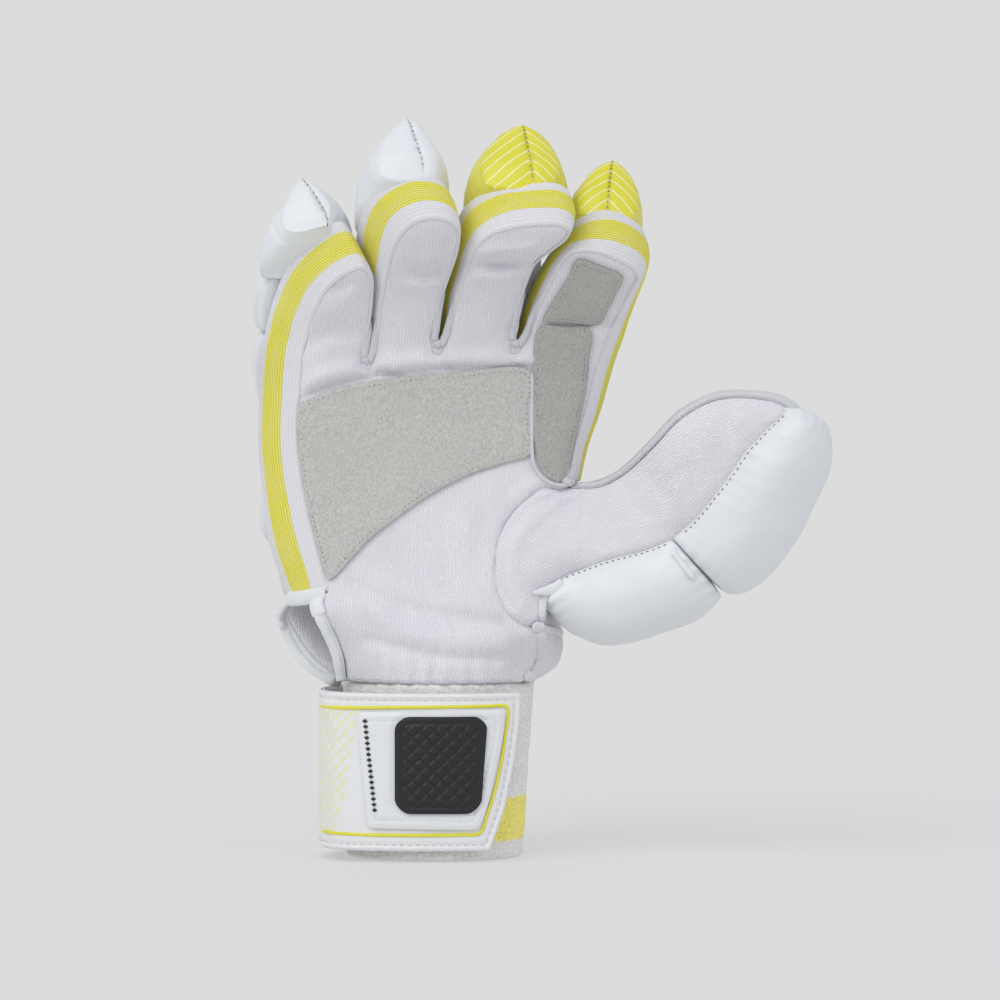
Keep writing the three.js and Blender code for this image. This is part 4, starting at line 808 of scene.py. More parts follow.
def leather_look(name, colour, rough=0.42, grain=0.05, print_on=None):
    """Coated leather cloth: soft gloss, fine grain, faint creases, with painted shade in the crease hollows."""
    L = Look(name, colour, rough, Specular_IOR_Level=0.45, Coat_Weight=0.12, Coat_Roughness=0.35)
    vec = L.obj()
    cells = L.voronoi(vec, 1500)
    fine = L.noise(vec, 900, 3, 0.6)
    crease = L.noise(L.scale(vec, 1, 1, 1), 85, 4, 0.6)
    line_ = L.ramp(L.math("ABSOLUTE", L.math("SUBTRACT", crease, 0.5)), 0.0, 0.035)
    big = L.noise(vec, 22, 2, 0.5)
    col = L.mix(L.math("MULTIPLY", L.ramp(big, 0.35, 0.7), 0.5), shade(colour, 0.965), shade(colour, 1.02))
    # painted shade: the colour is darkened along the crease lines
    col = L.mix(L.math("MULTIPLY", L.math("SUBTRACT", 1.0, line_), 0.07), col, shade(colour, 0.8))
    if print_on:
        col = print_on(L, col)
    h = L.math("ADD", L.math("MULTIPLY", cells, 0.35), L.math("ADD", L.math("MULTIPLY", fine, 0.3), L.math("MULTIPLY", line_, 0.5)))
    r = L.math("ADD", rough - 0.05, L.math("MULTIPLY", fine, 0.12))
    return L.set(colour=col, rough=r, normal=L.bump(h, grain * 1.6, 0.7))


def towel_look(name, colour, stripe):
    L = Look(name, colour, 1.0, Sheen_Weight=0.4, Sheen_Roughness=0.5, Specular_IOR_Level=0.1)
    vec, u, v = L.uv()
    loops = L.voronoi(L.scale(vec, 1.0, 1.25), 0.95)
    fine = L.noise(vec, 2.4, 3, 0.7)
    yel = L.ramp(L.attr("stripe"), 0.35, 0.65)
    base = L.mix(yel, colour, stripe)
    # painted shade: the towelling is darker between the loops, where the bump is low
    painted_shade_col = L.mix(yel, shade(colour, 0.84), shade(stripe, 0.84))
    col = L.mix(L.ramp(loops, 0.30, 0.85), base, painted_shade_col)
    col = L.mix(L.math("MULTIPLY", fine, 0.2), col, shade(colour, 1.0))
    h = L.math("ADD", L.math("SUBTRACT", 1.0, loops), L.math("MULTIPLY", fine, 0.4))
    return L.set(colour=col, normal=L.bump(h, 0.28, 0.8))


def weave_look(name, colour, pitch=0.7, rough=0.85):
    L = Look(name, colour, rough, Sheen_Weight=0.2, Specular_IOR_Level=0.25)
    vec, u, v = L.uv()
    a = L.math("SINE", L.math("MULTIPLY", L.math("DIVIDE", L.math("ADD", u, v), pitch), 6.2832))
    b = L.math("SINE", L.math("MULTIPLY", L.math("DIVIDE", L.math("SUBTRACT", u, v), pitch * 1.6), 6.2832))
    h = L.math("ADD", L.math("MULTIPLY", a, 0.5), L.math("MULTIPLY", b, 0.35))
    fine = L.noise(vec, 2.5, 2, 0.6)
    h = L.math("ADD", h, fine)
    # painted shade and light: darker where the weave is low (low h), a little lighter where it is high
    col = L.mix(L.ramp(h, -0.4, 1.2), shade(colour, 0.80), shade(colour, 1.05))
    return L.set(colour=col, normal=L.bump(h, 0.16, 0.8))


def thread_look(name, colour):
    L = Look(name, colour, 0.75, Specular_IOR_Level=0.3)
    vec = L.obj()
    f = L.noise(vec, 2500, 2, 0.6)
    return L.set(colour=L.mix(f, shade(colour, 0.75), shade(colour, 1.08)), normal=L.bump(f, 0.08, 0.6))


WHITE = srgb(232, 235, 238)
YELLOW_CLOTH = srgb(236, 230, 92)
YELLOW_SKIN = srgb(226, 220, 62)


def tip_print(L, col):
    """Thin pale herringbone on the coloured fingertips; u across, v along, in mm."""
    vec, u, v = L.uv()
    k = L.math("FRACT", L.math("DIVIDE", L.math("ADD", v, L.math("MULTIPLY", L.math("ABSOLUTE", u), 0.85)), 4.7))
    near = L.math("ABSOLUTE", L.math("SUBTRACT", k, 0.5))
    ink = L.math("SUBTRACT", 1.0, L.ramp(near, 0.045, 0.075))
    return L.mix(L.math("MULTIPLY", ink, 0.85), col, srgb(244, 244, 214))


M_KNIT = knit_look("knit_white", srgb(238, 236, 241))
M_KNIT_BACK = knit_look("knit_white_back", srgb(236, 234, 239))
M_ELASTIC = elastic_look("ribbed_elastic", srgb(233, 232, 236), YELLOW_CLOTH)
M_SUEDE = suede_look("suede_grey", srgb(202, 201, 197))
# painted shade: a darker copy of the grey suede for the two patches on the index finger, which lie in shade
M_SUEDE_SHADED = suede_look("suede_grey_finger_painted_shade", srgb(180, 179, 174))
M_WHITE = leather_look("leather_white", WHITE)
M_YELLOW = leather_look("leather_yellow", YELLOW_SKIN, print_on=tip_print)
M_TOWEL = towel_look("towelling", srgb(240, 239, 236), srgb(255, 242, 100))
M_BIND = weave_look("binding_grey", srgb(224, 225, 230))
M_CORD = weave_look("piping_pale", srgb(232, 233, 238), 0.6)
M_THREAD = thread_look("thread_white", srgb(226, 226, 224))
M_THREAD_DARK = thread_look("thread_grey", srgb(128, 128, 126))
M_THREAD_SUEDE = thread_look("thread_suede", srgb(146, 147, 142))
M_THREAD_GREY = thread_look("thread_mid", srgb(150, 154, 160))
M_PIPING = leather_look("strap_line_yellow", srgb(232, 226, 60), 0.45, 0.03)

# ------------------------------------------------------------------ knitted panels
FRONT_GAP = 1.15  # the cloth runs in under the sewn edge of the side strips
foot_front = [[32.6, 64.4], [28, 64.4], [16, 64.4], [2, 64.4], [-12, 64.4], [-25, 64.4]]
foot_back = [[33, 64.4], [28, 64.4], [14, 64.4], [0, 64.4], [-14, 64.4], [-26, 64.4]]
palm_loop = inset([(hand_edge_f, FRONT_GAP), (seam_f[1:-1], 0), (wrist_f[:-1], FRONT_GAP), (foot_front, 0), (slit_f[1:][::-1], 0)])
back_loop = inset([(hand_edge_b, FRONT_GAP), (seam_b[1:-1], 0), (wrist_b[:-1], FRONT_GAP), (foot_back, 0), (slit_b[1:][::-1], 0)])
thumb_loop_f = inset([(thumb_edge_f, FRONT_GAP), (seam_f[1:-1][::-1], 0.02)])
thumb_loop_b = inset([(thumb_edge_b, FRONT_GAP + 0.3), (seam_b[1:-1][::-1], 0.02)])


def thumb_uv(P):
    return np.stack([along(P[:, 0], P[:, 1]) * 1.0, -(P[:, 0] - 25.6) * 0.485 + (P[:, 1] - 108.7) * 0.875], 1)[:, ::-1]


for name, loop, f, side, step, mat, uv, node, held_by in (
        ("palm_knit", palm_loop, palm_cloth, -1, 1.3, M_KNIT, None, "palm_panel", ["little_side_strip", "index_side_strip"]),
        ("back_knit", back_loop, back_cloth, 1, 1.9, M_KNIT_BACK, None, "back_panel", ["little_side_strip", "index_side_strip"]),
        ("thumb_front_knit", thumb_loop_f, thumb_front_cloth, -1, 1.2, M_KNIT, thumb_uv, "thumb_front_panel", ["thumb_side_strip"]),
        ("thumb_back_knit", thumb_loop_b, thumb_back_cloth, 1, 1.9, M_KNIT_BACK, thumb_uv, "thumb_back_panel", ["thumb_side_strip"])):
    o = panel(name, loop, f, side, 0, -KNIT_WALL, step, mat, uv=uv)
    piece(o, [node])
    cut_from(o, loop, held_by)


# ------------------------------------------------------------------ suede
def suede(name, table, node, mat=None):
    loop = line(np.vstack([table, table[:1]]), 1.1)[:-1]
    closed = np.vstack([loop, loop[:1]])

    def lift(x, z):
        d = away(closed, x, z)
        y = -0.55 * (1 - np.minimum(1, d / 1.6)) ** 2 - 0.22 * np.exp(-((d - 2.3) / 0.6) ** 2)
        return y + 0.16 * fbm(np.stack([x / 1.7, z / 1.7, x * 0], -1), 2, 21) + 0.10 * fbm(np.stack([x / 6, z / 6, x * 0], -1), 2, 22)
    o = panel(name, loop, hand_front_patch, -1, PATCH_GAP + SUEDE, PATCH_GAP, 0.95, mat or M_SUEDE, lift=lift)
    piece(o, [node])
    cut_from(o, loop, ["palm_panel"], 1.02)
    return loop


def hand_front_patch(x, z):
    return hand_front(x, z) + soft_noise(x, z, 0.42, 13, 19, 3) * smooth(0, 7, away(hand_edge_f, x, z))


palm_line = suede("palm_suede", PALM_PATCH, "palm_patch")
index_line = suede("index_suede", INDEX_PATCH, "index_patch", M_SUEDE_SHADED)
tip_line = suede("index_tip_suede", TIP_PATCH, "index_tip_patch", M_SUEDE_SHADED)


# ------------------------------------------------------------------ ribbed side strips
def swelling(b, s):
    first, tip, last = b
    v = np.where(s < 0.5, mix(first, tip, smooth(0.3, 0.45, s)), mix(tip, last, smooth(0.55, 0.7, s)))
    return v * np.sin(np.pi * np.clip(s, 0.04, 0.96)) ** 0.4


def strip_frame(rows, fF, fB, n, bulge):
    F2, B2 = stations(rows, n)

    def inward(E):
        d = np.vstack([E[1:2] - E[:1], E[2:] - E[:-2], E[-1:] - E[-2:-1]])
        d = unit(d)
        return np.stack([d[:, 1], -d[:, 0]], 1)
    nf, nb = inward(F2), inward(B2)
    F = np.stack([F2[:, 0], fF(F2[:, 0], F2[:, 1]), F2[:, 1]], 1)
    B = np.stack([B2[:, 0], fB(B2[:, 0], B2[:, 1]), B2[:, 1]], 1)
    sf, sb = slope(fF, F2[:, 0] + nf[:, 0], F2[:, 1] + nf[:, 1]), slope(fB, B2[:, 0] + nb[:, 0], B2[:, 1] + nb[:, 1])
    inF = unit(np.stack([nf[:, 0], sf[0] * nf[:, 0] + sf[1] * nf[:, 1], nf[:, 1]], 1))
    inB = unit(np.stack([nb[:, 0], sb[0] * nb[:, 0] + sb[1] * nb[:, 1], nb[:, 1]], 1))
    s = np.linspace(0, 1, n + 1)
    return F, B, inF, inB, swelling(bulge, s), s


def ribbed(name, node, rows, fF, fB, bulge, tin, tout, ribs=(5, 9, 5), pitch=0.9, rib_height=0.20, mat=None, wavy=0.3, seed=1):
    n = int(round(length(rows[:, :2]) / pitch))
    F, B, inF, inB, swell, s = strip_frame(rows, fF, fB, n, bulge)
    ti, to = np.interp(s, *zip(*tin)), np.interp(s, *zip(*tout))
    per = 6
    cols = [np.linspace(0, 1, ribs[0] * per + 1), np.linspace(0, 1, ribs[1] * per + 1), np.linspace(0, 1, ribs[2] * per + 1)]
    T = np.hstack([ti[:, None] * cols[0][None, :-1], ti[:, None] + (to - ti)[:, None] * cols[1][None, :-1], to[:, None] + (1 - to)[:, None] * cols[2][None]])
    q = np.concatenate([cols[0][:-1] * ribs[0], ribs[0] + cols[1][:-1] * ribs[1], ribs[0] + ribs[1] + cols[2] * ribs[2]])
    band = np.concatenate([np.zeros(len(cols[0]) - 1), np.ones(len(cols[1]) - 1), np.zeros(len(cols[2]))])
    band[len(cols[0]) - 1] = 1
    C = len(q)
    run = np.concatenate([[0], np.cumsum(np.linalg.norm(np.diff((F + B) / 2, axis=0), axis=1))])
    W = np.linalg.norm(F - B, axis=1)
    t = T[..., None]
    inw = unit(inF[:, None] * (1 - t) + inB[:, None] * t)
    h = rib_height * np.abs(np.sin(np.pi * q)) ** 0.8 * np.minimum(1, W / 13)[:, None]
    edge_dip = -0.35 * (np.exp(-((T * W[:, None]) / 1.2) ** 2))
    mid = F[:, None] * (1 - t) + B[:, None] * t
    wave = wavy * fbm(np.stack([run[:, None] / 6 + 0 * T, T * W[:, None] / 14, 0 * T], -1), 2, seed) * np.sin(np.pi * T)
    push = swell[:, None] * 4 * T * (1 - T) + h + edge_dip + wave
    O = mid - inw * push[..., None]
    I = mid - inw * ((swell[:, None] * 4 * T * (1 - T) + wave)[..., None]) + inw * STRIP_WALL
    # section: outer columns, round edge, inner columns thinned, round edge
    pick = np.arange(C - 1, -1, -6)
    edge1 = (O[:, -1] + I[:, -1]) / 2 + unit(B - F) * 0.45
    edge0 = (O[:, 0] + I[:, 0]) / 2 - unit(B - F) * 0.45
    ring = np.concatenate([O, edge1[:, None], I[:, pick], edge0[:, None]], 1)
    R, K = ring.shape[:2]
    V = ring.reshape(-1, 3)
    uvv = np.concatenate([q, [q[-1]], q[pick], [0]])
    UV = np.stack([np.repeat(run, K), np.tile(uvv, R)], 1)
    att = np.tile(np.concatenate([band, [0], band[pick], [0]]), R)
    c0, c1 = V[:K].mean(0), V[-K:].mean(0)
    V = np.vstack([V, c0, c1])
    UV = np.vstack([UV, UV[:1], UV[-1:]])
    att = np.concatenate([att, [0, 0]])
    faces = [tube_faces(R, K), cap_faces(0, K, R * K, True), cap_faces((R - 1) * K, K, R * K + 1, False)]
    o = make(name, V, faces, mat or M_ELASTIC, uv=UV, attrs={"band": att})
    piece(o, [node])
    cut_sheet(o, float(run[-1]), float(W.max()), ["palm_panel", "back_panel"])
    return O, run


E_IN, E_OUT = [(0, 0.25), (1, 0.25)], [(0, 0.79), (1, 0.79)]
little = ribbed("little_elastic", "little_side_strip", LITTLE, hand_front, hand_back, (2.4, 2.2, 0.4),
                [(0, 0.27), (0.5, 0.27), (0.62, 0.25), (1, 0.3)], [(0, 0.80), (0.5, 0.80), (0.62, 0.78), (1, 0.75)], seed=31)
ring_ = ribbed("ring_elastic", "ring_side_strip", RING, hand_front, hand_back, (0.4, 2.2, 0.4),
               [(0, 0.3), (0.3, 0.27), (0.7, 0.27), (1, 0.3)], [(0, 0.75), (0.3, 0.76), (0.7, 0.76), (1, 0.75)], seed=32)
middle = ribbed("middle_elastic", "middle_side_strip", MIDDLE, hand_front, hand_back, (0.4, 2.2, 0.4),
                [(0, 0.3), (0.3, 0.27), (0.7, 0.27), (1, 0.3)], [(0, 0.75), (0.3, 0.76), (0.7, 0.76), (1, 0.75)], seed=33)
index = ribbed("index_elastic", "index_side_strip", INDEX, hand_front, hand_back, (0.4, 2.2, 1.6),
               [(0, 0.3), (0.3, 0.27), (0.6, 0.27), (1, 0.45)], [(0, 0.75), (0.3, 0.76), (0.6, 0.76), (1, 0.85)], seed=34)


def gusset(name, node, rows, fF, fB, bulge, mat, seed, cols=26, pitch=1.3, noise_amount=0.3):
    n = int(round(length(rows[:, :2]) / pitch))
    F, B, inF, inB, swell, s = strip_frame(rows, fF, fB, n, bulge)
    T = np.tile(np.linspace(0, 1, cols), (n + 1, 1))
    run = np.concatenate([[0], np.cumsum(np.linalg.norm(np.diff((F + B) / 2, axis=0), axis=1))])
    W = np.linalg.norm(F - B, axis=1)
    t = T[..., None]
    inw = unit(inF[:, None] * (1 - t) + inB[:, None] * t)
    wave = noise_amount * fbm(np.stack([run[:, None] / 9 + 0 * T, T * W[:, None] / 9, 0 * T], -1), 3, seed) * np.sin(np.pi * T)
    # bound edges: a small raised tape along both seams
    tape = 0.5 * (smooth(3.4, 2.6, T * W[:, None]) + smooth(3.4, 2.6, (1 - T) * W[:, None])) - 0.3 * np.exp(-((T * W[:, None]) / 0.6) ** 2)
    base = swell[:, None] * 4 * T * (1 - T) + wave
    mid = F[:, None] * (1 - t) + B[:, None] * t
    O = mid - inw * (base + tape)[..., None]
    I = mid - inw * base[..., None] + inw * STRIP_WALL
    e1 = (O[:, -1] + I[:, -1]) / 2 + unit(B - F) * 0.45
    e0 = (O[:, 0] + I[:, 0]) / 2 - unit(B - F) * 0.45
    ring = np.concatenate([O, e1[:, None], I[:, ::-3], e0[:, None]], 1)
    R, K = ring.shape[:2]
    tt = np.concatenate([T[0], [1], T[0][::-3], [0]])
    V = np.vstack([ring.reshape(-1, 3), ring[0].mean(0), ring[-1].mean(0)])
    UV = np.stack([np.repeat(run, K), (W[:, None] * tt[None]).ravel()], 1)
    UV = np.vstack([UV, UV[:1], UV[-1:]])
    faces = [tube_faces(R, K), cap_faces(0, K, R * K, True), cap_faces((R - 1) * K, K, R * K + 1, False)]
    o = make(name, V, faces, mat, uv=UV)
    piece(o, [node])
    cut_sheet(o, float(run[-1]), float(W.max()), ["palm_panel", "back_panel"])
    return O


thumb_band = gusset("thumb_side_band", "thumb_side_strip", THUMB, thumb_front, thumb_back, (2, 2, 2), M_BIND, 41)
wrist_side = gusset("wrist_side_knit", "wrist_side_strip", WRIST_SIDE, hand_front, hand_back, (2.5, 2.5, 2.5), M_KNIT, 42, pitch=1.0, noise_amount=0.8)


# ------------------------------------------------------------------ padded rolls on the back
def roll(name, rows, mat, tip, seed, lean=0.0, belly=3.0, tuck=(-0.35, 0.22)):
    rows = A(rows, float)
    for i, j in ((0, 1), (-1, -2)):
        if i == 0 or not tip:
            rows[i, 2] = max(rows[i, 2], rows[j, 2] * 0.90)
            rows[i, 3] = max(rows[i, 3], rows[j, 3] * 0.80)
    m = 62
    d = np.linalg.norm(np.diff(rows[:, :2], axis=0), axis=1)
    keys = np.concatenate([[0], np.cumsum(d)])
    v = np.linspace(0, keys[-1], m)
    x, z, w, t, e = [hermite(keys, rows[:, k], v) for k in range(5)]
    c, n = on_surface(back_base, 1, x, z, 0.9 * np.ones(m))
    tan = unit(np.vstack([c[1:2] - c[:1], c[2:] - c[:-2], c[-1:] - c[-2:-1]]))
    ac = unit(np.cross(tan, n))
    Q = 54
    q = np.linspace(0, np.pi, Q)
    cx = np.sign(np.cos(q)) * np.abs(np.cos(q))[None] ** (2 / e[:, None]) * w[:, None]
    hh = np.abs(np.sin(q))[None] ** (2 / e[:, None]) * t[:, None]
    # rounder lower edge so that the roll tucks in where it is sewn down
    run = np.concatenate([[0], np.cumsum(np.linalg.norm(np.diff(c, axis=0), axis=1))])
    total = run[-1]
    P = c[:, None] + ac[:, None] * cx[..., None] + n[:, None] * hh[..., None]
    out = unit(ac[:, None] * (cx / w[:, None])[..., None] + n[:, None] * (hh / t[:, None])[..., None])
    arc = np.concatenate([np.zeros((m, 1)), np.cumsum(np.linalg.norm(np.diff(P, axis=1), axis=2), axis=1)], 1)
    near = np.exp(-(run / 3.6))[:, None] + (0.35 if tip else 1.0) * (np.exp(-((total - run) / 4.2)))[:, None]
    ph = 2.2 * noise(np.stack([arc / 9, run[:, None] / 40 + 0 * arc, 0 * arc], -1), seed)
    gather = 0.62 * near * np.sin(arc * 2 * np.pi / 5.6 + ph) * (0.55 + 0.45 * noise(np.stack([arc / 7, 0 * arc, 0 * arc + 3], -1), seed + 2))
    soft = 0.35 * fbm(np.stack([arc / 11, run[:, None] / 8 + 0 * arc, 0 * arc], -1), 3, seed + 4)
    low = smooth(0, 3, hh)
    P = P + out * ((gather + soft) * low)[..., None]
    # the lower rim is drawn down onto the edge of the finger
    rim = (1 - np.minimum(1, hh / (0.24 * t[:, None]))) ** 1.5
    P = P - n[:, None] * ((3.1 if tip else 1.6) * rim)[..., None]
    tipward = smooth(total - 26, total - 6, run) if tip else np.zeros(m)
    P = P - ac[:, None] * (cx * 0.20 * rim * tipward[:, None])[..., None]
    # ends
    rings = []
    uvs = []
    base_uv = lambda run_, arc_: np.stack([arc_ - arc_[-1] / 2, np.full(len(arc_), run_)], 1)

    def close(k, sign, reach, seam):
        got = []
        steps = 9
        for s in range(1, steps + 1):
            ph_ = s / steps * math.pi / 2
            shrink = math.cos(ph_)
            if seam:  # both sides meet in a seam up the middle of the end
                rel = P[k] - c[k]
                seam_at = -lean * (1 - np.clip((rel @ n[k]) / t[k], 0, 1))
                a_ = seam_at + ((rel @ ac[k]) - seam_at) * shrink
                h_ = (rel @ n[k]) * (1 - 0.06 * math.sin(ph_))
                hump = smooth(tuck[0], tuck[1], h_ / t[k]) * (1 - 0.35 * smooth(0.75, 1.0, h_ / t[k]))
                pk = 0.16 * np.sin(h_ * 2 * np.pi / 3.4 + np.where(rel @ ac[k] > 0, 0.6, 2.4)) * math.sin(ph_) ** 3 * (shrink > 0.02)
                dd = reach * math.sin(ph_) * (0.04 + 0.96 * hump) + pk - 0.7 * math.exp(-((shrink * w[k]) / 1.2) ** 2)
                got.append(c[k] + ac[k] * a_[:, None] + n[k] * h_[:, None] + (tan[k] * sign) * dd[:, None])
            else:
                mid = c[k] + n[k] * t[k] * 0.45
                got.append(mid + (P[k] - mid) * max(shrink, 0.02) + tan[k] * sign * reach * math.sin(ph_))
        return got
    first = close(0, -1, 1.1, False)[::-1]
    last = close(m - 1, 1, 5.0 if tip else 1.1, tip)
    allr = first + [P[i] for i in range(m)] + last
    uvr = [base_uv(run[0] - (9 - i) * 0.5, arc[0]) for i in range(9)] + [base_uv(run[i], arc[i]) for i in range(m)]
    for s in range(1, 10):
        a_ = (arc[-1] - arc[-1][-1] / 2)
        uvr.append(np.stack([a_ * math.cos(s / 9 * math.pi / 2 * 0.9), run[-1] + s * 1.6 + 0 * a_], 1))
    # underside
    V, UV = [], []
    fs = np.linspace(0, 1, 12)[1:-1]
    for i_, (ringp, u_) in enumerate(zip(allr, uvr)):
        l, r = ringp[-1], ringp[0]
        j_ = min(max(i_ - 9, 0), m - 1)
        under = [l + (r - l) * f - n[j_] * (belly * tipward[j_] * math.sin(math.pi * f) ** 0.6) for f in fs]
        V.append(np.vstack([ringp, under]))
        UV.append(np.vstack([u_, [u_[-1] + (u_[0] - u_[-1]) * f for f in fs]]))
    V, UV = A(V), A(UV)
    R, K = V.shape[:2]
    for i in range(R):
        j = min(max(i - 9, 0), m - 1)
        rel = V[i] - c[j]
        UV[i, :, 0] = rel @ ac[j] + lean * (1 - np.clip((rel @ n[j]) / t[j], 0, 1))
        near_end = float(smooth(total - 9, total, run[j])) if i < 9 + m else 1.0
        UV[i, :, 1] = mix(t[j], rel @ n[j], near_end) + 0.95 * (total - run[j])
    pts = np.vstack([V.reshape(-1, 3), V[0].mean(0), V[-1].mean(0)])
    UVf = np.vstack([UV.reshape(-1, 2), UV[0, :1], UV[-1, :1]])
    faces = [tube_faces(R, K), cap_faces(0, K, R * K, True)]
    if tip:
        faces.append(cap_faces((R - 1) * K, K, R * K + 1, False))
        pts[-1] = V[-1][Q // 2]
    else:
        faces.append(cap_faces((R - 1) * K, K, R * K + 1, False))
    o = make(name, pts, faces, mat, uv=UVf, merge=0.02)
    piece(o, [name.replace("_leather", "")])
    return dict(c=c, n=n, ac=ac, tan=tan, t=t, w=w, last=allr, m=m)


rolls = {}
for k, (name, rows) in enumerate(ROLLS.items()):
    yellow = name in ("middle_tip_roll", "index_tip_roll")
    rolls[name] = roll(name + "_leather", rows, M_YELLOW if yellow else M_WHITE, "tip" in name, 100 + 7 * k,
                       {"little_tip_roll": 7.5, "ring_tip_roll": 5.2, "middle_tip_roll": 4.6}.get(name, 0.0),
                       {"little_tip_roll": 3.2, "ring_tip_roll": 3.8, "middle_tip_roll": 2.4, "index_tip_roll": 1.2}.get(name, 0.0),
                       (-0.16, 0.6) if name == "little_tip_roll" else (-0.35, 0.22))


# ------------------------------------------------------------------ thumb pads
def thumb_pad(name, rows, seed, laps):
    rows = A(rows, float)
    fF, fB = stations(THUMB, 800)
    at = A([np.argmin(np.hypot(fF[:, 0] - r[0], fF[:, 1] - r[1])) for r in rows]) / 800.0
    m = 96
    dist = np.concatenate([[0], np.cumsum(np.linalg.norm(np.diff(rows[:, :2], axis=0), axis=1))])
    v = np.linspace(0, dist[-1], m)
    s, dr, w, k, b = [hermite(dist, c, v) for c in (at, rows[:, 2], rows[:, 3], rows[:, 4], rows[:, 5])]
    lap = np.interp(np.linspace(0, 1, m), np.linspace(0, 1, len(laps)), laps)
    g = np.linspace(0, 1, 801)
    Fx, Fz, Bx, Bz = [np.interp(s, g, c) for c in (fF[:, 0], fF[:, 1], fB[:, 0], fB[:, 1])]
    F = np.stack([Fx, thumb_front(Fx, Fz), Fz], 1)
    B = np.stack([Bx, thumb_back(Bx, Bz), Bz], 1)
    e = np.stack([np.cos(np.radians(dr)), np.zeros(m), -np.sin(np.radians(dr))], 1)
    wrap = smooth(0.82, 1, b)
    clear = (1 - wrap) * 3
    E = F + (B - F) * b[:, None]
    out = ((E - F) * e).sum(1)
    reach = wrap * np.minimum(9, w * 0.4) - (1 - wrap) * 3.4
    bxz = E - e * reach[:, None]
    under = np.where(wrap > 0.5, thumb_back(bxz[:, 0], bxz[:, 2]) + 3.4, E[:, 1] + 3.6)
    depth = np.maximum(E[:, 1] + PAD_BACK * k * wrap + 2.4 * (1 - wrap), under + 2 + 5 * k * wrap) - F[:, 1]
    rings = []
    for i in range(m):
        a = lap[i]
        q0 = F[i] - e[i] * a
        pts = [A([q0[0], float(thumb_front(q0[:1], q0[2:])[0]) - 0.45, q0[2]])]
        for u, rise in ((0.035, 1.3), (0.11, 3.6), (0.25, 5.9), (0.45, 7.0), (0.72, 4.4)):
            ww = -a + u * (w[i] + a)
            base = mix(pts[0][1] + 0.4, F[i, 1] - 0.5, float(smooth(0.3, 1.0, u)))
            pts.append([F[i, 0] + e[i, 0] * ww, base - rise * k[i], F[i, 2] + e[i, 2] * ww])
        for u, vv in PAD_SECTION[4:]:
            ww = max(u * w[i], 1.6) if u > 0 else out[i] + u * 2 * reach[i] + clear[i] * 1.4
            pts.append([F[i, 0] + e[i, 0] * ww, F[i, 1] - 0.5 + vv * depth[i], F[i, 2] + e[i, 2] * ww])
        pts.append([bxz[i, 0], under[i], bxz[i, 2]])
        pts.append([E[i, 0] + e[i, 0] * (0.8 + clear[i]), E[i, 1] + 3, E[i, 2] + e[i, 2] * (0.8 + clear[i])])
        q = F[i] + (E[i] - F[i]) * 0.85 + e[i] * 4.6
        pts.append(q)
        pts.append(F[i] + (E[i] - F[i]) * 0.45 + e[i] * 5)
        pts.append([F[i, 0] + e[i, 0] * 3.2, F[i, 1] + 2.2 * b[i], F[i, 2] + e[i, 2] * 3.2])
        loop = crom(A(pts), np.linspace(0, 1, 401), closed=True)[:-1]
        # even spacing over the outside, fewer points under it
        cut = int(400 * 13 / 18)
        rings.append(np.vstack([resample(loop[:cut], 62), resample(loop[cut:], 15)[1:-1]]))
    V = A(rings)
    R, K = V.shape[:2]
    mid = V.mean(1)
    run = np.concatenate([[0], np.cumsum(np.linalg.norm(np.diff(mid, axis=0), axis=1))])
    arc = np.concatenate([np.zeros((R, 1)), np.cumsum(np.linalg.norm(np.diff(V, axis=1), axis=2), axis=1)], 1)
    outward = unit(V - mid[:, None])
    d0, d1 = run[:, None], (run[-1] - run)[:, None]
    ends = np.exp(-d0 / 4.0) + np.exp(-d1 / 4.0)
    seam = np.exp(-arc / 4.5)
    ph = 2.0 * noise(np.stack([run[:, None] / 8 + 0 * arc, arc / 50, 0 * arc], -1), seed)
    g1 = 0.34 * seam * np.sin(run[:, None] * 2 * np.pi / 5.2 + 1.6 * ph) * smooth(0, 2.0, arc) * (0.6 + 0.6 * noise(np.stack([run[:, None] / 11 + 0 * arc, 0 * arc, 0 * arc + 5], -1), seed + 9))
    g1 = g1 + (0.42 * np.exp(-((run[:, None] - 5) / 6.5) ** 2) * np.exp(-arc / 5.5) * np.sin(run[:, None] * 2 * np.pi / 2.7 + ph) if "tip" in name else 0)
    g2 = 0.6 * ends * np.sin(arc * 2 * np.pi / 6.0 + ph)
    soft = 0.55 * fbm(np.stack([run[:, None] / 17 + 0 * arc, arc / 13, 0 * arc], -1), 3, seed + 1)
    vis = (np.arange(K) < 63)[None]
    V = V + outward * ((g1 + g2 + soft) * vis * smooth(0, 1.6, arc))[..., None]
    tan = unit(np.vstack([mid[1:2] - mid[:1], mid[-1:] - mid[-2:-1]]))
    head, tail = [], []
    for sidx in range(1, 8):
        p = sidx / 7 * math.pi / 2
        head.append(mid[0] + (V[0] - mid[0]) * max(math.cos(p), 0.02) - tan[0] * 1.8 * math.sin(p))
        tail.append(mid[-1] + (V[-1] - mid[-1]) * max(math.cos(p), 0.02) + tan[1] * 1.8 * math.sin(p))
    allr = A(head[::-1] + list(V) + tail)
    R2 = len(allr)
    runs = np.concatenate([[-i * 0.4 for i in range(7, 0, -1)], run, [run[-1] + i * 0.4 for i in range(1, 8)]])
    arcs = np.vstack([np.tile(arc[:1], (7, 1)), arc, np.tile(arc[-1:], (7, 1))])
    pts = np.vstack([allr.reshape(-1, 3), allr[0].mean(0), allr[-1].mean(0)])
    UV = np.vstack([np.stack([np.repeat(runs, K), arcs.ravel()], 1), [[0, 0], [0, 0]]])
    faces = [tube_faces(R2, K), cap_faces(0, K, R2 * K, True), cap_faces((R2 - 1) * K, K, R2 * K + 1, False)]
    o = make(name + "_leather", pts, faces, M_WHITE, uv=UV)
    piece(o, [name])
    return V, arc, run, F, e


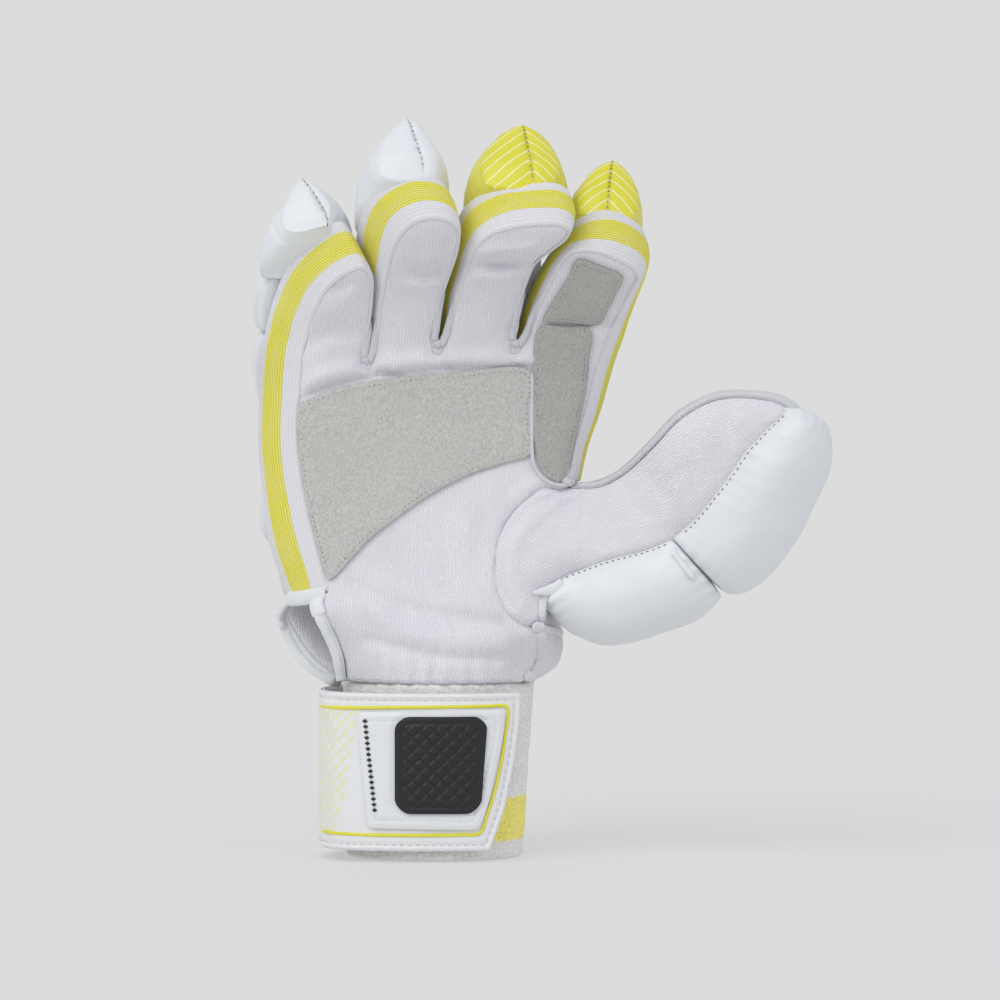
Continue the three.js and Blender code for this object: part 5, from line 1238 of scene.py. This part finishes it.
pads = {name: thumb_pad(name, rows, 300 + 11 * i, ([3.5, 7.5, 8.5, 8.2, 7.2, 6.0, 4.6], [4.4, 4.0, 3.2, 2.4, 1.8])[i]) for i, (name, rows) in enumerate(THUMB_PADS.items())}


# ------------------------------------------------------------------ slit bindings
def folded_edge(name, node, pts, f, side, widths, roll_r, seed):
    """Leather flap sewn to the cloth edge, ending in a rolled rim."""
    L = line(pts, 0.9)
    d = unit(np.vstack([L[1:2] - L[:1], L[2:] - L[:-2], L[-1:] - L[-2:-1]]))
    nx = np.stack([d[:, 1], -d[:, 0]], 1)
    n = len(L)
    run = np.concatenate([[0], np.cumsum(np.linalg.norm(np.diff(L, axis=0), axis=1))])
    w = hermite(np.linspace(0, run[-1], len(widths)), widths, run)
    y = f(L[:, 0], L[:, 1])
    # section: (share of the width, offset across, height), anticlockwise
    sec = [(0.0, 0.2, 0.5), (0.3, 0, 0.55), (0.6, -0.6, 0.7)]
    for a in np.linspace(150, -150, 17):
        sec.append((1.0, -roll_r + roll_r * math.cos(math.radians(a)), 0.55 * roll_r * math.sin(math.radians(a)) + 0.1))
    sec += [(0.6, -0.6, -0.8), (0.3, 0, -0.9), (0.0, 0.2, -0.9)]
    sec = A(sec)
    K = len(sec)
    k = np.arange(K)[None]
    wob = 0.30 * fbm(np.stack([run[:, None] / 5 + 0 * k, k / 6 + 0 * run[:, None], 0 * k + 0 * run[:, None]], -1), 3, seed)
    across = sec[None, :, 0] * w[:, None] + sec[None, :, 1] + wob * sec[None, :, 0]
    up = sec[None, :, 2] + wob * 1.1
    V = np.stack([L[:, None, 0] + nx[:, None, 0] * across, y[:, None] + side * up, L[:, None, 1] + nx[:, None, 1] * across], -1)
    pv = np.vstack([V.reshape(-1, 3), V[0].mean(0), V[-1].mean(0)])
    UV = np.vstack([np.stack([np.repeat(run, K), np.tile(np.arange(K) * 0.7, n)], 1), [[0, 0], [0, 0]]])
    o = make(name, pv, [tube_faces(n, K), cap_faces(0, K, n * K, True), cap_faces((n - 1) * K, K, n * K + 1, False)], M_WHITE, uv=UV)
    piece(o, [node])
    return V


slit_front = folded_edge("slit_edge_front", "slit_binding_front", SLIT_FRONT[1:], hand_front, -1, [4.2, 4.4, 4.4, 4.2, 4.0], 1.7, 51)
slit_back = folded_edge("slit_edge_back", "slit_binding_back", SLIT_BACK[1:], hand_back, 1, [5.0, 5.6, 6.0, 5.4, 4.6], 2.1, 52)


# ------------------------------------------------------------------ towelling cuff
def cuff():
    n, levels = 300, np.concatenate([[0, 0.5], np.arange(1.2, 63.2, 0.75), [63.5, 64.0]])
    a = np.linspace(0, 2 * np.pi, n, endpoint=False)
    cosn, sinn = np.cos(a), np.sin(a)

    def ring(z, inner, drop=0):
        rx = mix(CUFF_RX_FOOT, CUFF_RX_TOP, min(z / CUFF_TOP, 1.1))
        ry = CUFF_RY - 0.4 * (1 - z / CUFF_TOP)
        cx = CUFF_LEAN * z / CUFF_TOP
        w = CUFF_WALL if inner else 0
        P = np.stack([cx + (rx - w) * cosn, (ry - w) * sinn, np.full(n, z)], 1)
        N = unit(np.stack([cosn / rx, sinn / ry, 0 * a], 1))
        arcl = a * 31
        loopy = 0.26 * fbm(np.stack([arcl / 1.5, np.full(n, z / 1.3), 0 * a], -1), 2, 61)
        ribs = 0.18 * np.sin(arcl * 2 * np.pi / 2.6 + 0.8 * noise(np.stack([arcl / 9, np.full(n, z / 12), 0 * a], -1), 62))
        slack = 0.5 * fbm(np.stack([arcl / 17, np.full(n, z / 22), 0 * a], -1), 2, 63)
        hem = -0.35 * math.exp(-((z - 5.2) / 0.8) ** 2)
        d = loopy + ribs + slack * math.sin(math.pi * z / CUFF_TOP) + hem - 0.3 - drop
        return P + N * (np.where(inner, -0.5 * d - 0.5, d))[:, None], arcl
    rings, uvs, st = [], [], []
    for z in levels:
        P, arcl = ring(z, False, 0.9 if z in (0, 64.0) else (0.3 if z in (0.5, 63.5) else 0))
        rings.append(P)
        uvs.append(np.stack([arcl, np.full(n, z)], 1))
        edge = 0.5 * noise(np.stack([arcl / 2, 0 * arcl, 0 * arcl], -1), 64)
        st.append(((z + edge > 6.6) & (z + edge < 22.4)).astype(float))
    for z in levels[::-3]:
        P, arcl = ring(z, True)
        rings.append(P)
        uvs.append(np.stack([arcl, np.full(n, z)], 1))
        st.append(np.zeros(n))
    V = A(rings)
    V[..., 2] = np.clip(V[..., 2], 0, None)
    R = len(V)
    o = make("towelling_cuff_loops", V.reshape(-1, 3), [tube_faces(R, n, closed_r=True)], M_TOWEL, uv=A(uvs).reshape(-1, 2), attrs={"stripe": A(st).ravel()})
    piece(o, ["towelling_cuff"])
    cut_sheet(o, float(arcl.max()), float(np.ptp(levels)), ["palm_panel", "back_panel"])


cuff()

# ------------------------------------------------------------------ strap
strap_path = line(STRAP_LINE, 0.5)


def strap_cut(end):
    """The path up to the x where the strap ends on the palm side."""
    half = len(strap_path) // 2
    k = half + int(np.argmax(strap_path[half:, 0] >= end))
    a, b = strap_path[k - 1], strap_path[k]
    t = (end - a[0]) / (b[0] - a[0])
    return np.vstack([strap_path[:k], a + (b - a) * t])


def strap_grid(zs, n):
    P, N, run = [], [], []
    for z in zs:
        c = resample(strap_cut(float(hermite(STRAP_END[:, 0], STRAP_END[:, 1], z))), n)
        d = unit(np.vstack([c[1:2] - c[:1], c[2:] - c[:-2], c[-1:] - c[-2:-1]]))
        P.append(np.stack([c[:, 0], c[:, 1], np.full(n + 1, z)], 1))
        N.append(np.stack([d[:, 1], -d[:, 0], 0 * d[:, 0]], 1))
        L = np.concatenate([[0], np.cumsum(np.linalg.norm(np.diff(c, axis=0), axis=1))])
        run.append(L)
    return A(P), A(N), A(run)


def strap():
    n = 300
    zs = np.concatenate([[STRAP_FOOT], np.linspace(STRAP_FOOT + 0.35, STRAP_TOP - 0.35, 90), [STRAP_TOP]])
    P, N, run = strap_grid(zs, n)
    # a sewn groove and a rounded bead along the edges, soft swells, and small wrinkles away from the free end
    R, C = P.shape[:2]
    to_end = run[:, -1:] - run
    dz = np.minimum(zs - STRAP_FOOT, STRAP_TOP - zs)[:, None] + 0 * run
    de = np.minimum(np.minimum(dz, to_end * 0.92), run)
    groove = -0.5 * np.exp(-((de - 2.5) / 0.55) ** 2) + 0.25 * np.exp(-((de - 1.2) / 0.8) ** 2)
    bead = -0.9 * (1 - np.minimum(1, de / 0.9)) ** 2
    soft = 0.35 * fbm(np.stack([run / 16, (zs[:, None] + 0 * run) / 12, 0 * run], -1), 2, 71) * smooth(0, 6, de)
    wrinkle = 0.22 * np.sin((run - to_end * 0) / 2.3 + 2 * noise(np.stack([run / 8, zs[:, None] / 9 + 0 * run, 0 * run], -1), 72)) * smooth(50, 75, to_end) * smooth(0, 4, de)
    O = P + N * (groove + bead + soft + wrinkle)[..., None]
    I = P - N * (STRAP_WALL - 0.4 * (1 - np.minimum(1, de / 0.9)) ** 2)[..., None]
    k = R * C
    V = np.vstack([O.reshape(-1, 3), I.reshape(-1, 3)])
    F = grid_faces(R, C)
    rim = np.concatenate([np.arange(R - 1) * C, (R - 1) * C + np.arange(C - 1), (np.arange(R - 1, 0, -1)) * C + C - 1, np.arange(C - 1, 0, -1)])
    nx = np.roll(rim, -1)
    UV = np.stack([run.ravel(), (zs[:, None] + 0 * run).ravel()], 1)
    # distance from the free end, for the print
    o = make("strap_leather", V, [F, F[:, ::-1] + k, np.stack([nx, rim, rim + k, nx + k], 1)], M_STRAP, uv=np.vstack([UV, UV]),
             attrs={"fromend": np.concatenate([to_end.ravel(), to_end.ravel()])})
    piece(o, ["wrist_strap"])
    cut_sheet(o, float(run.max()), float(STRAP_TOP - STRAP_FOOT), ["towelling_cuff"])


def strap_point(x, z, off):
    """Points on the strap's outer face on the palm side."""
    half = strap_path[len(strap_path) // 2:]
    half = half[half[:, 1] < -6]
    y = np.interp(x, half[:, 0], half[:, 1])
    sl = (np.interp(A(x) + 0.3, half[:, 0], half[:, 1]) - np.interp(A(x) - 0.3, half[:, 0], half[:, 1])) / 0.6
    n = unit(np.stack([sl, -np.ones_like(sl), 0 * sl], -1))
    return np.stack([x, y, z], -1) + n * A(off)[..., None], n


def strap_print(L, col):
    """Pale yellow lattice near the strap's inner end, between the borders."""
    vec, u, v = L.uv()
    fe = L.attr("fromend")
    a = L.math("ABSOLUTE", L.math("SUBTRACT", L.math("FRACT", L.math("DIVIDE", L.math("ADD", fe, v), 5.2)), 0.5))
    b = L.math("ABSOLUTE", L.math("SUBTRACT", L.math("FRACT", L.math("DIVIDE", L.math("SUBTRACT", fe, v), 5.2)), 0.5))
    c = L.math("ABSOLUTE", L.math("SUBTRACT", L.math("FRACT", L.math("ADD", L.math("DIVIDE", L.math("ADD", fe, v), 5.2), 0.18)), 0.5))
    ink = L.math("SUBTRACT", 1.0, L.ramp(L.math("MINIMUM", L.math("MINIMUM", a, b), c), 0.05, 0.09))
    where = L.math("MULTIPLY", L.ramp(fe, 60.5, 61.0), L.math("MULTIPLY", L.ramp(v, 10.4, 10.7), L.math("SUBTRACT", 1.0, L.ramp(v, 54.6, 54.9))))
    return L.mix(L.math("MULTIPLY", L.math("MULTIPLY", ink, where), 0.5), col, srgb(232, 228, 120))


M_STRAP = leather_look("strap_white", srgb(234, 235, 236), 0.5, 0.07, print_on=strap_print)
M_PLATE = leather_look("plate_white", srgb(232, 234, 236), 0.45, 0.05)
M_RUBBER = leather_look("emblem_black", srgb(22, 23, 25), 0.5, 0.05)
M_INK = leather_look("mark_black", srgb(34, 35, 37), 0.55, 0.03)
strap()


def sheet_on_strap(name, loop, outer, inner, step, mat, nodes=(), lift=None):
    def f(x, z):
        return strap_point(x, z, np.zeros_like(x))[0][..., 1]
    o = panel(name, loop, f, -1, outer, inner, step, mat, lift=lift)
    piece(o, list(nodes))
    return o


def poly(points, step, corner=2.0):
    """Straight-sided outline with rounded corners."""
    P = A(points, float)
    out = []
    n = len(P)
    for i in range(n):
        a, b, c = P[i - 1], P[i], P[(i + 1) % n]
        r = min(corner, np.linalg.norm(b - a) * 0.4, np.linalg.norm(c - b) * 0.4)
        p, q = b + unit(a - b) * r, b + unit(c - b) * r
        for t in np.linspace(0, 1, 7):
            out.append(p * (1 - t) ** 2 + 2 * b * t * (1 - t) + q * t ** 2)
    out = A(out)
    return resample(out, int(round(length(np.vstack([out, out[:1]])) / step)), closed=True)


plate_loop = poly(PLATE, 0.7, 2.2)


def plate_lift(x, z):
    d = away(np.vstack([plate_loop, plate_loop[:1]]), x, z)
    y = 0.5 * smooth(0, 1.6, d) - 0.45 * np.exp(-((d - 3.0) / 0.5) ** 2) - 0.3
    e = away(np.vstack([emblem_loop, emblem_loop[:1]]), x, z)
    return y - 0.35 * np.exp(-((e - 1.0) / 0.7) ** 2)


emblem_loop = poly(EMBLEM, 0.6, 2.5)
sheet_on_strap("strap_plate_leather", plate_loop, 1.3, 0.5, 0.9, M_PLATE, ["strap_plate"], lift=plate_lift)


def emblem_lift(x, z):
    d = away(np.vstack([emblem_loop, emblem_loop[:1]]), x, z)
    a = np.abs(((x + z) / 5.0) % 1 - 0.5) * 5.0
    b = np.abs(((x - z) / 5.0) % 1 - 0.5) * 5.0
    g = np.minimum(a, b)
    cells = 0.45 * smooth(0.25, 1.0, g) * smooth(2.4, 3.2, d)
    return -0.35 * (1 - np.minimum(1, d / 0.8)) ** 2 + cells - 0.25 - 0.25 * np.exp(-((d - 2.2) / 0.45) ** 2)


sheet_on_strap("strap_emblem_rubber", emblem_loop, 2.6, 1.8, 0.5, M_RUBBER, ["strap_emblem"], lift=emblem_lift)


# ------------------------------------------------------------------ cords and stitches
def tube(name, P, r, mat, sides=10, flat=1.0, N=None, widths=None):
    P = A(P, float)
    n = len(P)
    T = unit(np.vstack([P[1:2] - P[:1], P[2:] - P[:-2], P[-1:] - P[-2:-1]]))
    if N is None:
        N = np.tile([0.0, -1.0, 0.0], (n, 1))
    S = unit(np.cross(T, N))
    N = unit(np.cross(S, T))
    q = np.linspace(0, 2 * np.pi, sides, endpoint=False)
    rr = (r if widths is None else r * widths) * np.minimum(1, 0.25 + np.minimum(np.arange(n), np.arange(n)[::-1]) * 0.4)
    ring = P[:, None] + (S[:, None] * np.cos(q)[None, :, None] + N[:, None] * np.sin(q)[None, :, None] * flat) * rr[:, None, None]
    run = np.concatenate([[0], np.cumsum(np.linalg.norm(np.diff(P, axis=0), axis=1))])
    V = np.vstack([ring.reshape(-1, 3), P[0], P[-1]])
    UV = np.vstack([np.stack([np.repeat(run, sides), np.tile(q * r, n)], 1), [[0, 0], [0, 0]]])
    o = make(name, V, [tube_faces(n, sides), cap_faces(0, sides, n * sides, True), cap_faces((n - 1) * sides, sides, n * sides + 1, False)], mat, uv=UV)
    return piece(o)


def stitch_row(P, N, gap, size, r, sink=0.25):
    """Capsules along a 3-D line P with normals N."""
    L = np.concatenate([[0], np.cumsum(np.linalg.norm(np.diff(P, axis=0), axis=1))])
    count = int(L[-1] / gap)
    out = []
    for k in range(count):
        s = (k + 0.5) * gap
        a = A([np.interp(s - size / 2, L, P[:, c]) for c in range(3)])
        b = A([np.interp(s + size / 2, L, P[:, c]) for c in range(3)])
        n = unit(A([np.interp(s, L, N[:, c]) for c in range(3)]))
        out.append((a + n * (r - sink), b + n * (r - sink), n, r))
    return out


def stitches(name, caps, mat):
    V, F = [], []
    sides, prof = 7, [(-1.0, 0.35), (-0.72, 0.85), (0, 1.0), (0.72, 0.85), (1.0, 0.35)]
    q = np.linspace(0, 2 * np.pi, sides, endpoint=False)
    quads, tris = [], []
    for a, b, n, r in caps:
        t = unit(b - a)
        s = unit(np.cross(t, n))
        n = np.cross(s, t)
        mid, half = (a + b) / 2, np.linalg.norm(b - a) / 2
        base = len(V)
        for p, k in prof:
            c = mid + t * half * p - n * r * 0.5 * abs(p)
            for w in q:
                V.append(c + (s * math.cos(w) + n * math.sin(w)) * r * k)
        V.append(mid - t * half * 1.08 - n * r * 0.5)
        V.append(mid + t * half * 1.08 - n * r * 0.5)
        quads.append(tube_faces(len(prof), sides) + base)
        tris.append(cap_faces(base, sides, base + len(prof) * sides, True))
        tris.append(cap_faces(base + (len(prof) - 1) * sides, sides, base + len(prof) * sides + 1, False))
    o = make(name, A(V), [np.vstack(quads), np.vstack(tris)], mat)
    return piece(o)


def on_hand(L2, off, f=hand_front_patch, side=-1):
    return on_surface(f, side, L2[:, 0], L2[:, 1], off * np.ones(len(L2)))


def inner_line(loop, d):
    area = 0.5 * np.sum(loop[:, 0] * np.roll(loop[:, 1], -1) - np.roll(loop[:, 0], -1) * loop[:, 1])
    t = unit(np.roll(loop, -1, 0) - np.roll(loop, 1, 0))
    n = np.stack([-t[:, 1], t[:, 0]], 1) * (1 if area > 0 else -1)
    p = loop + n * d
    keep = away(np.vstack([loop, loop[:1]]), p[:, 0], p[:, 1]) > d * 0.93
    p = p[keep]
    return np.vstack([p, p[:1]])


caps = []
for loop in (palm_line, index_line, tip_line):
    P, N = on_hand(inner_line(loop, 1.3), PATCH_GAP + SUEDE - 0.35)
    caps += stitch_row(P, N, 1.9, 1.2, 0.22, 0.06)
stitches("suede_stitches", caps, M_THREAD_SUEDE)

caps = []
for zline in (STRAP_FOOT + 2.5, STRAP_TOP - 2.5):
    end = float(hermite(STRAP_END[:, 0], STRAP_END[:, 1], zline)) - 2.6
    c = resample(strap_cut(end), 500)
    d = unit(np.vstack([c[1:2] - c[:1], c[2:] - c[:-2], c[-1:] - c[-2:-1]]))
    P = np.stack([c[:, 0], c[:, 1], np.full(len(c), zline)], 1)
    N = np.stack([d[:, 1], -d[:, 0], 0 * d[:, 0]], 1)
    caps += stitch_row(P - N * 0.35, N, 2.9, 1.9, 0.24, 0.05)
zz = np.linspace(STRAP_FOOT + 2.5, STRAP_TOP - 2.5, 60)
P, N = strap_point(hermite(STRAP_END[:, 0], STRAP_END[:, 1], zz) - 2.6, zz, -0.35 * np.ones(60))
caps += stitch_row(P, N, 2.9, 1.9, 0.24, 0.05)
lp = inner_line(plate_loop, 3.0)
P, N = strap_point(lp[:, 0], lp[:, 1], 1.02 * np.ones(len(lp)))
caps += stitch_row(P, N, 2.6, 1.7, 0.2, 0.05)
stitches("strap_stitches", caps, M_THREAD)

# coloured line round the front of the strap
pl = [[-41.5, 55.2], [-20, 55.8], [0, 56.1], [20, 56.3], [25.4, 56.3], [26.6, 55], [26.3, 50], [25.6, 45], [24.4, 37], [22.2, 27],
      [19.5, 18], [17.2, 11.4], [16, 10.3], [10, 10.1], [-10, 9.9], [-41, 10.0]]
pp = line(A(pl), 0.7)
P, N = strap_point(pp[:, 0], pp[:, 1], 0.05 * np.ones(len(pp)))
tube("strap_line", P, 0.62, M_PIPING, sides=10, flat=0.75, N=N)

# small black diamonds in a column beside the emblem
V, T = [], []
for k in range(17):
    z = 19.0 + k * 2.0
    x = mix(-20.9, -24.6, (z - 18) / 35)
    for j, (dx, dz) in enumerate(((0.95, 0), (0, 0.72), (-0.95, 0), (0, -0.72))):
        V.append((x + dx, z + dz))
V = A(V)
P, N = strap_point(V[:, 0], V[:, 1], np.full(len(V), 1.62))
Pi = P - N * 0.45
count = len(V) // 4
b = np.arange(count) * 4
mdl = A([(P[i:i + 4].mean(0) + N[i] * 0.12) for i in b])
m = len(P)
tri, quad = [], []
for i in range(count):
    for j in range(4):
        tri.append((b[i] + j, b[i] + (j + 1) % 4, 2 * m + i))
        quad.append((b[i] + (j + 1) % 4, b[i] + j, b[i] + j + m, b[i] + (j + 1) % 4 + m))
    quad.append((b[i] + 3 + m, b[i] + 2 + m, b[i] + 1 + m, b[i] + m))
o = make("strap_diamonds", np.vstack([P, Pi, mdl]), [tri, quad], M_INK)
piece(o)

# pale piping between palm and thumb, up the side of the palm leather
cord = line(A([[35.3, 176.5], [35.3, 168], [35.3, 158], [35.3, 148.5], [36.0, 143], [38.5, 138.5], [42.5, 135.9], [48.5, 134.6]]), 0.9)
P, N = on_hand(cord, 1.0)
tube("web_piping", P, 0.75, M_CORD, sides=12, N=N)

# rounded white margins at the bottoms of the gaps between the fingers
for i, (k0, k1) in enumerate((("LITTLE", "RING"), ("RING", "MIDDLE"), ("MIDDLE", "INDEX"))):
    f0, f1 = edges[k0][0], edges[k1][0]
    join = np.vstack([f0[-15:-1], (f0[-1] + f1[0]) / 2 + A([0, -0.5]), f1[1:15]])
    j = line(join[::3], 0.6)
    h = np.linspace(-1, 1, len(j))
    P, N = on_hand(j, 0.35 - 1.3 * np.abs(h) ** 3, hand_front)
    tube("finger_gap_%d_edge" % (i + 1), P, 1.5, M_CORD, sides=14, N=N, flat=0.8, widths=1 - 0.75 * np.abs(h) ** 2.5)
    low = (f0[-1] + f1[0]) / 2
    tk = line(A([low + A([-2.2, -0.9]), low + A([0, -1.5]), low + A([2.2, -0.9])]), 0.5)
    P, N = on_hand(tk, 0.0, hand_front)
    tube("finger_gap_%d_tack" % (i + 1), P, 1.7, M_CORD, sides=14, N=N, flat=0.6)

# leather loop that closes the top of the wrist slit
end_row = little[0][0][::9] + A([0, 0, -1.2])
lp = line(np.vstack([[slit_front[7].mean(0)], [slit_front[2].mean(0) + A([0, 0, 0.6])], end_row[1:-1], [slit_back[2].mean(0) + A([0, 0, 0.6])], [slit_back[7].mean(0)]]), 0.7)
mid = little[0][0].mean(0) + A([14.0, 0, 0])
tube("slit_loop", lp, 2.9, M_WHITE, sides=22, N=unit((lp - mid) * A([1, 1, 0.15])), flat=0.55)

# edge tape round the top of the thumb
te = thumb_edge_f[1:int(len(thumb_edge_f) * 0.47)]
P, N = on_surface(thumb_front, -1, te[:, 0], te[:, 1], 0.2 * np.ones(len(te)))
tube("thumb_edge_piping", P + A([0, 0, 0.2]), 0.95, M_CORD, sides=12, N=N)

# folded tip where the lower thumb pad runs out
tp = line(A([[46.5, 100.8], [43.0, 98.6], [40.0, 97.6], [37.2, 97.0], [34.8, 96.9]]), 0.45)
P, N = on_surface(thumb_front_cloth, -1, tp[:, 0], tp[:, 1], np.linspace(2.4, 1.0, len(tp)))
tube("pad_tip_fold", P, 1.0, M_WHITE, sides=16, N=N, flat=0.45, widths=np.interp(np.linspace(0, 1, len(tp)), [0, 0.3, 0.7, 1], [3.2, 2.7, 1.5, 0.5]))

# raised seam tape across the lower pad
PV = pads["thumb_base_pad"][0].reshape(-1, 3)
sl = line(A([[85.2, 112.6], [87.8, 109.4], [90.6, 105.8], [93.4, 102.2]]), 0.6)
top = A([[x, PV[np.hypot(PV[:, 0] - x, PV[:, 2] - z) < 2.2, 1].min(), z] for x, z in sl])
tube("pad_seam_tape", top + A([0, -0.15, 0]), 1.0, M_WHITE, sides=14, flat=0.7)
te2 = thumb_edge_f[int(len(thumb_edge_f) * 0.90):]
P, N = on_surface(thumb_front, -1, te2[:, 0], te2[:, 1], 0.1 * np.ones(len(te2)))
tube("thumb_side_seam", P + A([-0.3, 0, 0]), 1.9, M_KNIT, sides=16, N=N, flat=0.45)

# taped seams: side of the wrist, lower end of the thumb band, corner of the web
we = stations(WRIST_SIDE, 40)[0]
P, N = on_surface(palm_cloth, -1, we[:, 0], we[:, 1], 0.1 * np.ones(len(we)))
tube("wrist_side_seam", P + A([-0.3, 0, 0]), 2.3, M_KNIT, sides=18, N=N, flat=0.42)
P = line(wrist_side[0][::6], 0.8)
tube("thumb_band_seam", P, 1.5, M_KNIT, sides=14, N=unit(A([1.0, -0.5, 0]))[None] * np.ones((len(P), 1)), flat=0.7)
for k, (x, z) in enumerate(((37.7, 84.8), (34.6, 66.2))):
    tk = line(A([[x - 2.6, z + 0.3], [x, z], [x + 2.4, z - 0.3]]), 0.5)
    P, N = on_surface(hand_front, -1, tk[:, 0], tk[:, 1], 0.4 * np.ones(len(tk)))
    tube("wrist_corner_%d" % (k + 1), P, 2.1, M_KNIT, sides=16, N=N, flat=0.5)
wb = line(A([[45.6, 137.6], [48.2, 136.4], [51.2, 136.2]]), 0.6)
P, N = on_surface(hand_front, -1, wb[:, 0], wb[:, 1], 0.3 * np.ones(len(wb)))
tube("web_tack", P, 1.7, M_CORD, sides=14, N=N, flat=0.8)

# seam threads on the finger caps and pads
caps = []
for name in ("little_tip_roll", "ring_tip_roll", "middle_tip_roll", "index_tip_roll"):
    r = rolls[name]
    last = r["last"]
    k = r["m"] + 9 - 1
    end = last[-1]
    half = 27
    P = np.vstack([end[: half + 1][::-1], end[58:59]])
    N = np.tile(r["tan"][-1], (len(P), 1))
    side = r["ac"][-1]
    caps += stitch_row(P, N, 2.3, 1.05, 0.15, -0.16)
stitches("cap_stitches", caps, M_THREAD_GREY)

caps = []
for name, (V, arc, run, F, e) in pads.items():
    P = V[4:-3, 1]
    N = np.tile([0.0, -1.0, 0.0], (len(P), 1))
    caps += stitch_row(P + A([0, -0.1, 0]), N, 2.3, 1.0, 0.19, 0.0)
stitches("pad_stitches", caps, M_THREAD_DARK)

# ------------------------------------------------------------------ camera, stage and light
scene = bpy.context.scene
scene.view_settings.view_transform = "Standard"
scene.view_settings.look = "None"
scene.view_settings.exposure = 0
scene.view_settings.gamma = 1

EL, DIST, REF_Y = math.radians(2.0), 2200.0, -24.0
cam_data = bpy.data.cameras.new("camera")
cam = bpy.data.objects.new("camera", cam_data)
scene.collection.objects.link(cam)
cam_data.sensor_fit = "HORIZONTAL"
cam_data.sensor_width = 36
cam_data.lens = 36 * DIST / 360.0
cam_data.clip_start, cam_data.clip_end = 0.1, 60
target = Vector(((23.8 + OX) / 1000, (REF_Y + OY) / 1000, 0.1303))
cam.location = target + Vector((0, -math.cos(EL), math.sin(EL))) * DIST / 1000
cam.rotation_euler = (math.pi / 2 - EL, 0, 0)
scene.camera = cam

world = bpy.data.worlds.new("studio")
scene.world = world
world.use_nodes = True
bg = world.node_tree.nodes["Background"]
bg.inputs[0].default_value = (0.92, 0.94, 1.0, 1)
bg.inputs[1].default_value = 0.62


def sun(name, direction, strength, angle, colour=(1, 1, 1)):
    d = bpy.data.lights.new(name, "SUN")
    d.energy, d.angle, d.color = strength, math.radians(angle), colour
    o = bpy.data.objects.new(name, d)
    scene.collection.objects.link(o)
    o.rotation_euler = Vector(direction).to_track_quat("-Z", "Y").to_euler()
    return o


sun("key", (0.42, 0.62, -0.66), 1.15, 50, (1, 0.99, 0.97))
sun("fill", (-0.75, 0.55, -0.25), 0.35, 70, (0.96, 0.98, 1))

# floor running up into a backdrop; the tone is even far off and takes the soft shadow near the glove
profile = [(-7.0, 0.0), (-1.0, 0), (0.0, 0), (0.8, 0), (3.4, 0)]
for k in range(1, 13):
    a = k / 12 * math.pi / 2
    profile.append((3.4 + 1.2 * math.sin(a), 1.2 - 1.2 * math.cos(a)))
profile.append((4.6, 7.0))
xs = np.linspace(-6, 6, 25)
Vb = [((x, y, z - 0.0002)) for y, z in profile for x in xs]
me = bpy.data.meshes.new("backdrop")
me.from_pydata(Vb, [], grid_faces(len(profile), len(xs)).tolist())
me.update()
for p in me.polygons:
    p.use_smooth = True
floor = bpy.data.objects.new("backdrop", me)
scene.collection.objects.link(floor)
fm = bpy.data.materials.new("backdrop_grey")
fm.use_nodes = True
nt = fm.node_tree
pb = nt.nodes["Principled BSDF"]
pb.inputs["Base Color"].default_value = (0.32, 0.32, 0.32, 1)
pb.inputs["Roughness"].default_value = 1
pb.inputs["Specular IOR Level"].default_value = 0
em = nt.nodes.new("ShaderNodeEmission")
em.inputs[0].default_value = (1, 1, 1, 1)
em.inputs[1].default_value = 0.7157
em2 = nt.nodes.new("ShaderNodeEmission")
em2.inputs[0].default_value = (1, 1, 1, 1)
em2.inputs[1].default_value = 0.432
add = nt.nodes.new("ShaderNodeAddShader")
nt.links.new(pb.outputs[0], add.inputs[0])
nt.links.new(em2.outputs[0], add.inputs[1])
mixs = nt.nodes.new("ShaderNodeMixShader")
geo = nt.nodes.new("ShaderNodeTexCoord")
ln = nt.nodes.new("ShaderNodeVectorMath")
ln.operation = "LENGTH"
nt.links.new(geo.outputs["Object"], ln.inputs[0])
mr = nt.nodes.new("ShaderNodeMapRange")
mr.interpolation_type = "SMOOTHSTEP"
mr.inputs["From Min"].default_value = 0.15
mr.inputs["From Max"].default_value = 0.75
nt.links.new(ln.outputs["Value"], mr.inputs["Value"])
nt.links.new(mr.outputs[0], mixs.inputs[0])
nt.links.new(add.outputs[0], mixs.inputs[1])
nt.links.new(em.outputs[0], mixs.inputs[2])
nt.links.new(mixs.outputs[0], nt.nodes["Material Output"].inputs[0])
me.materials.append(fm)
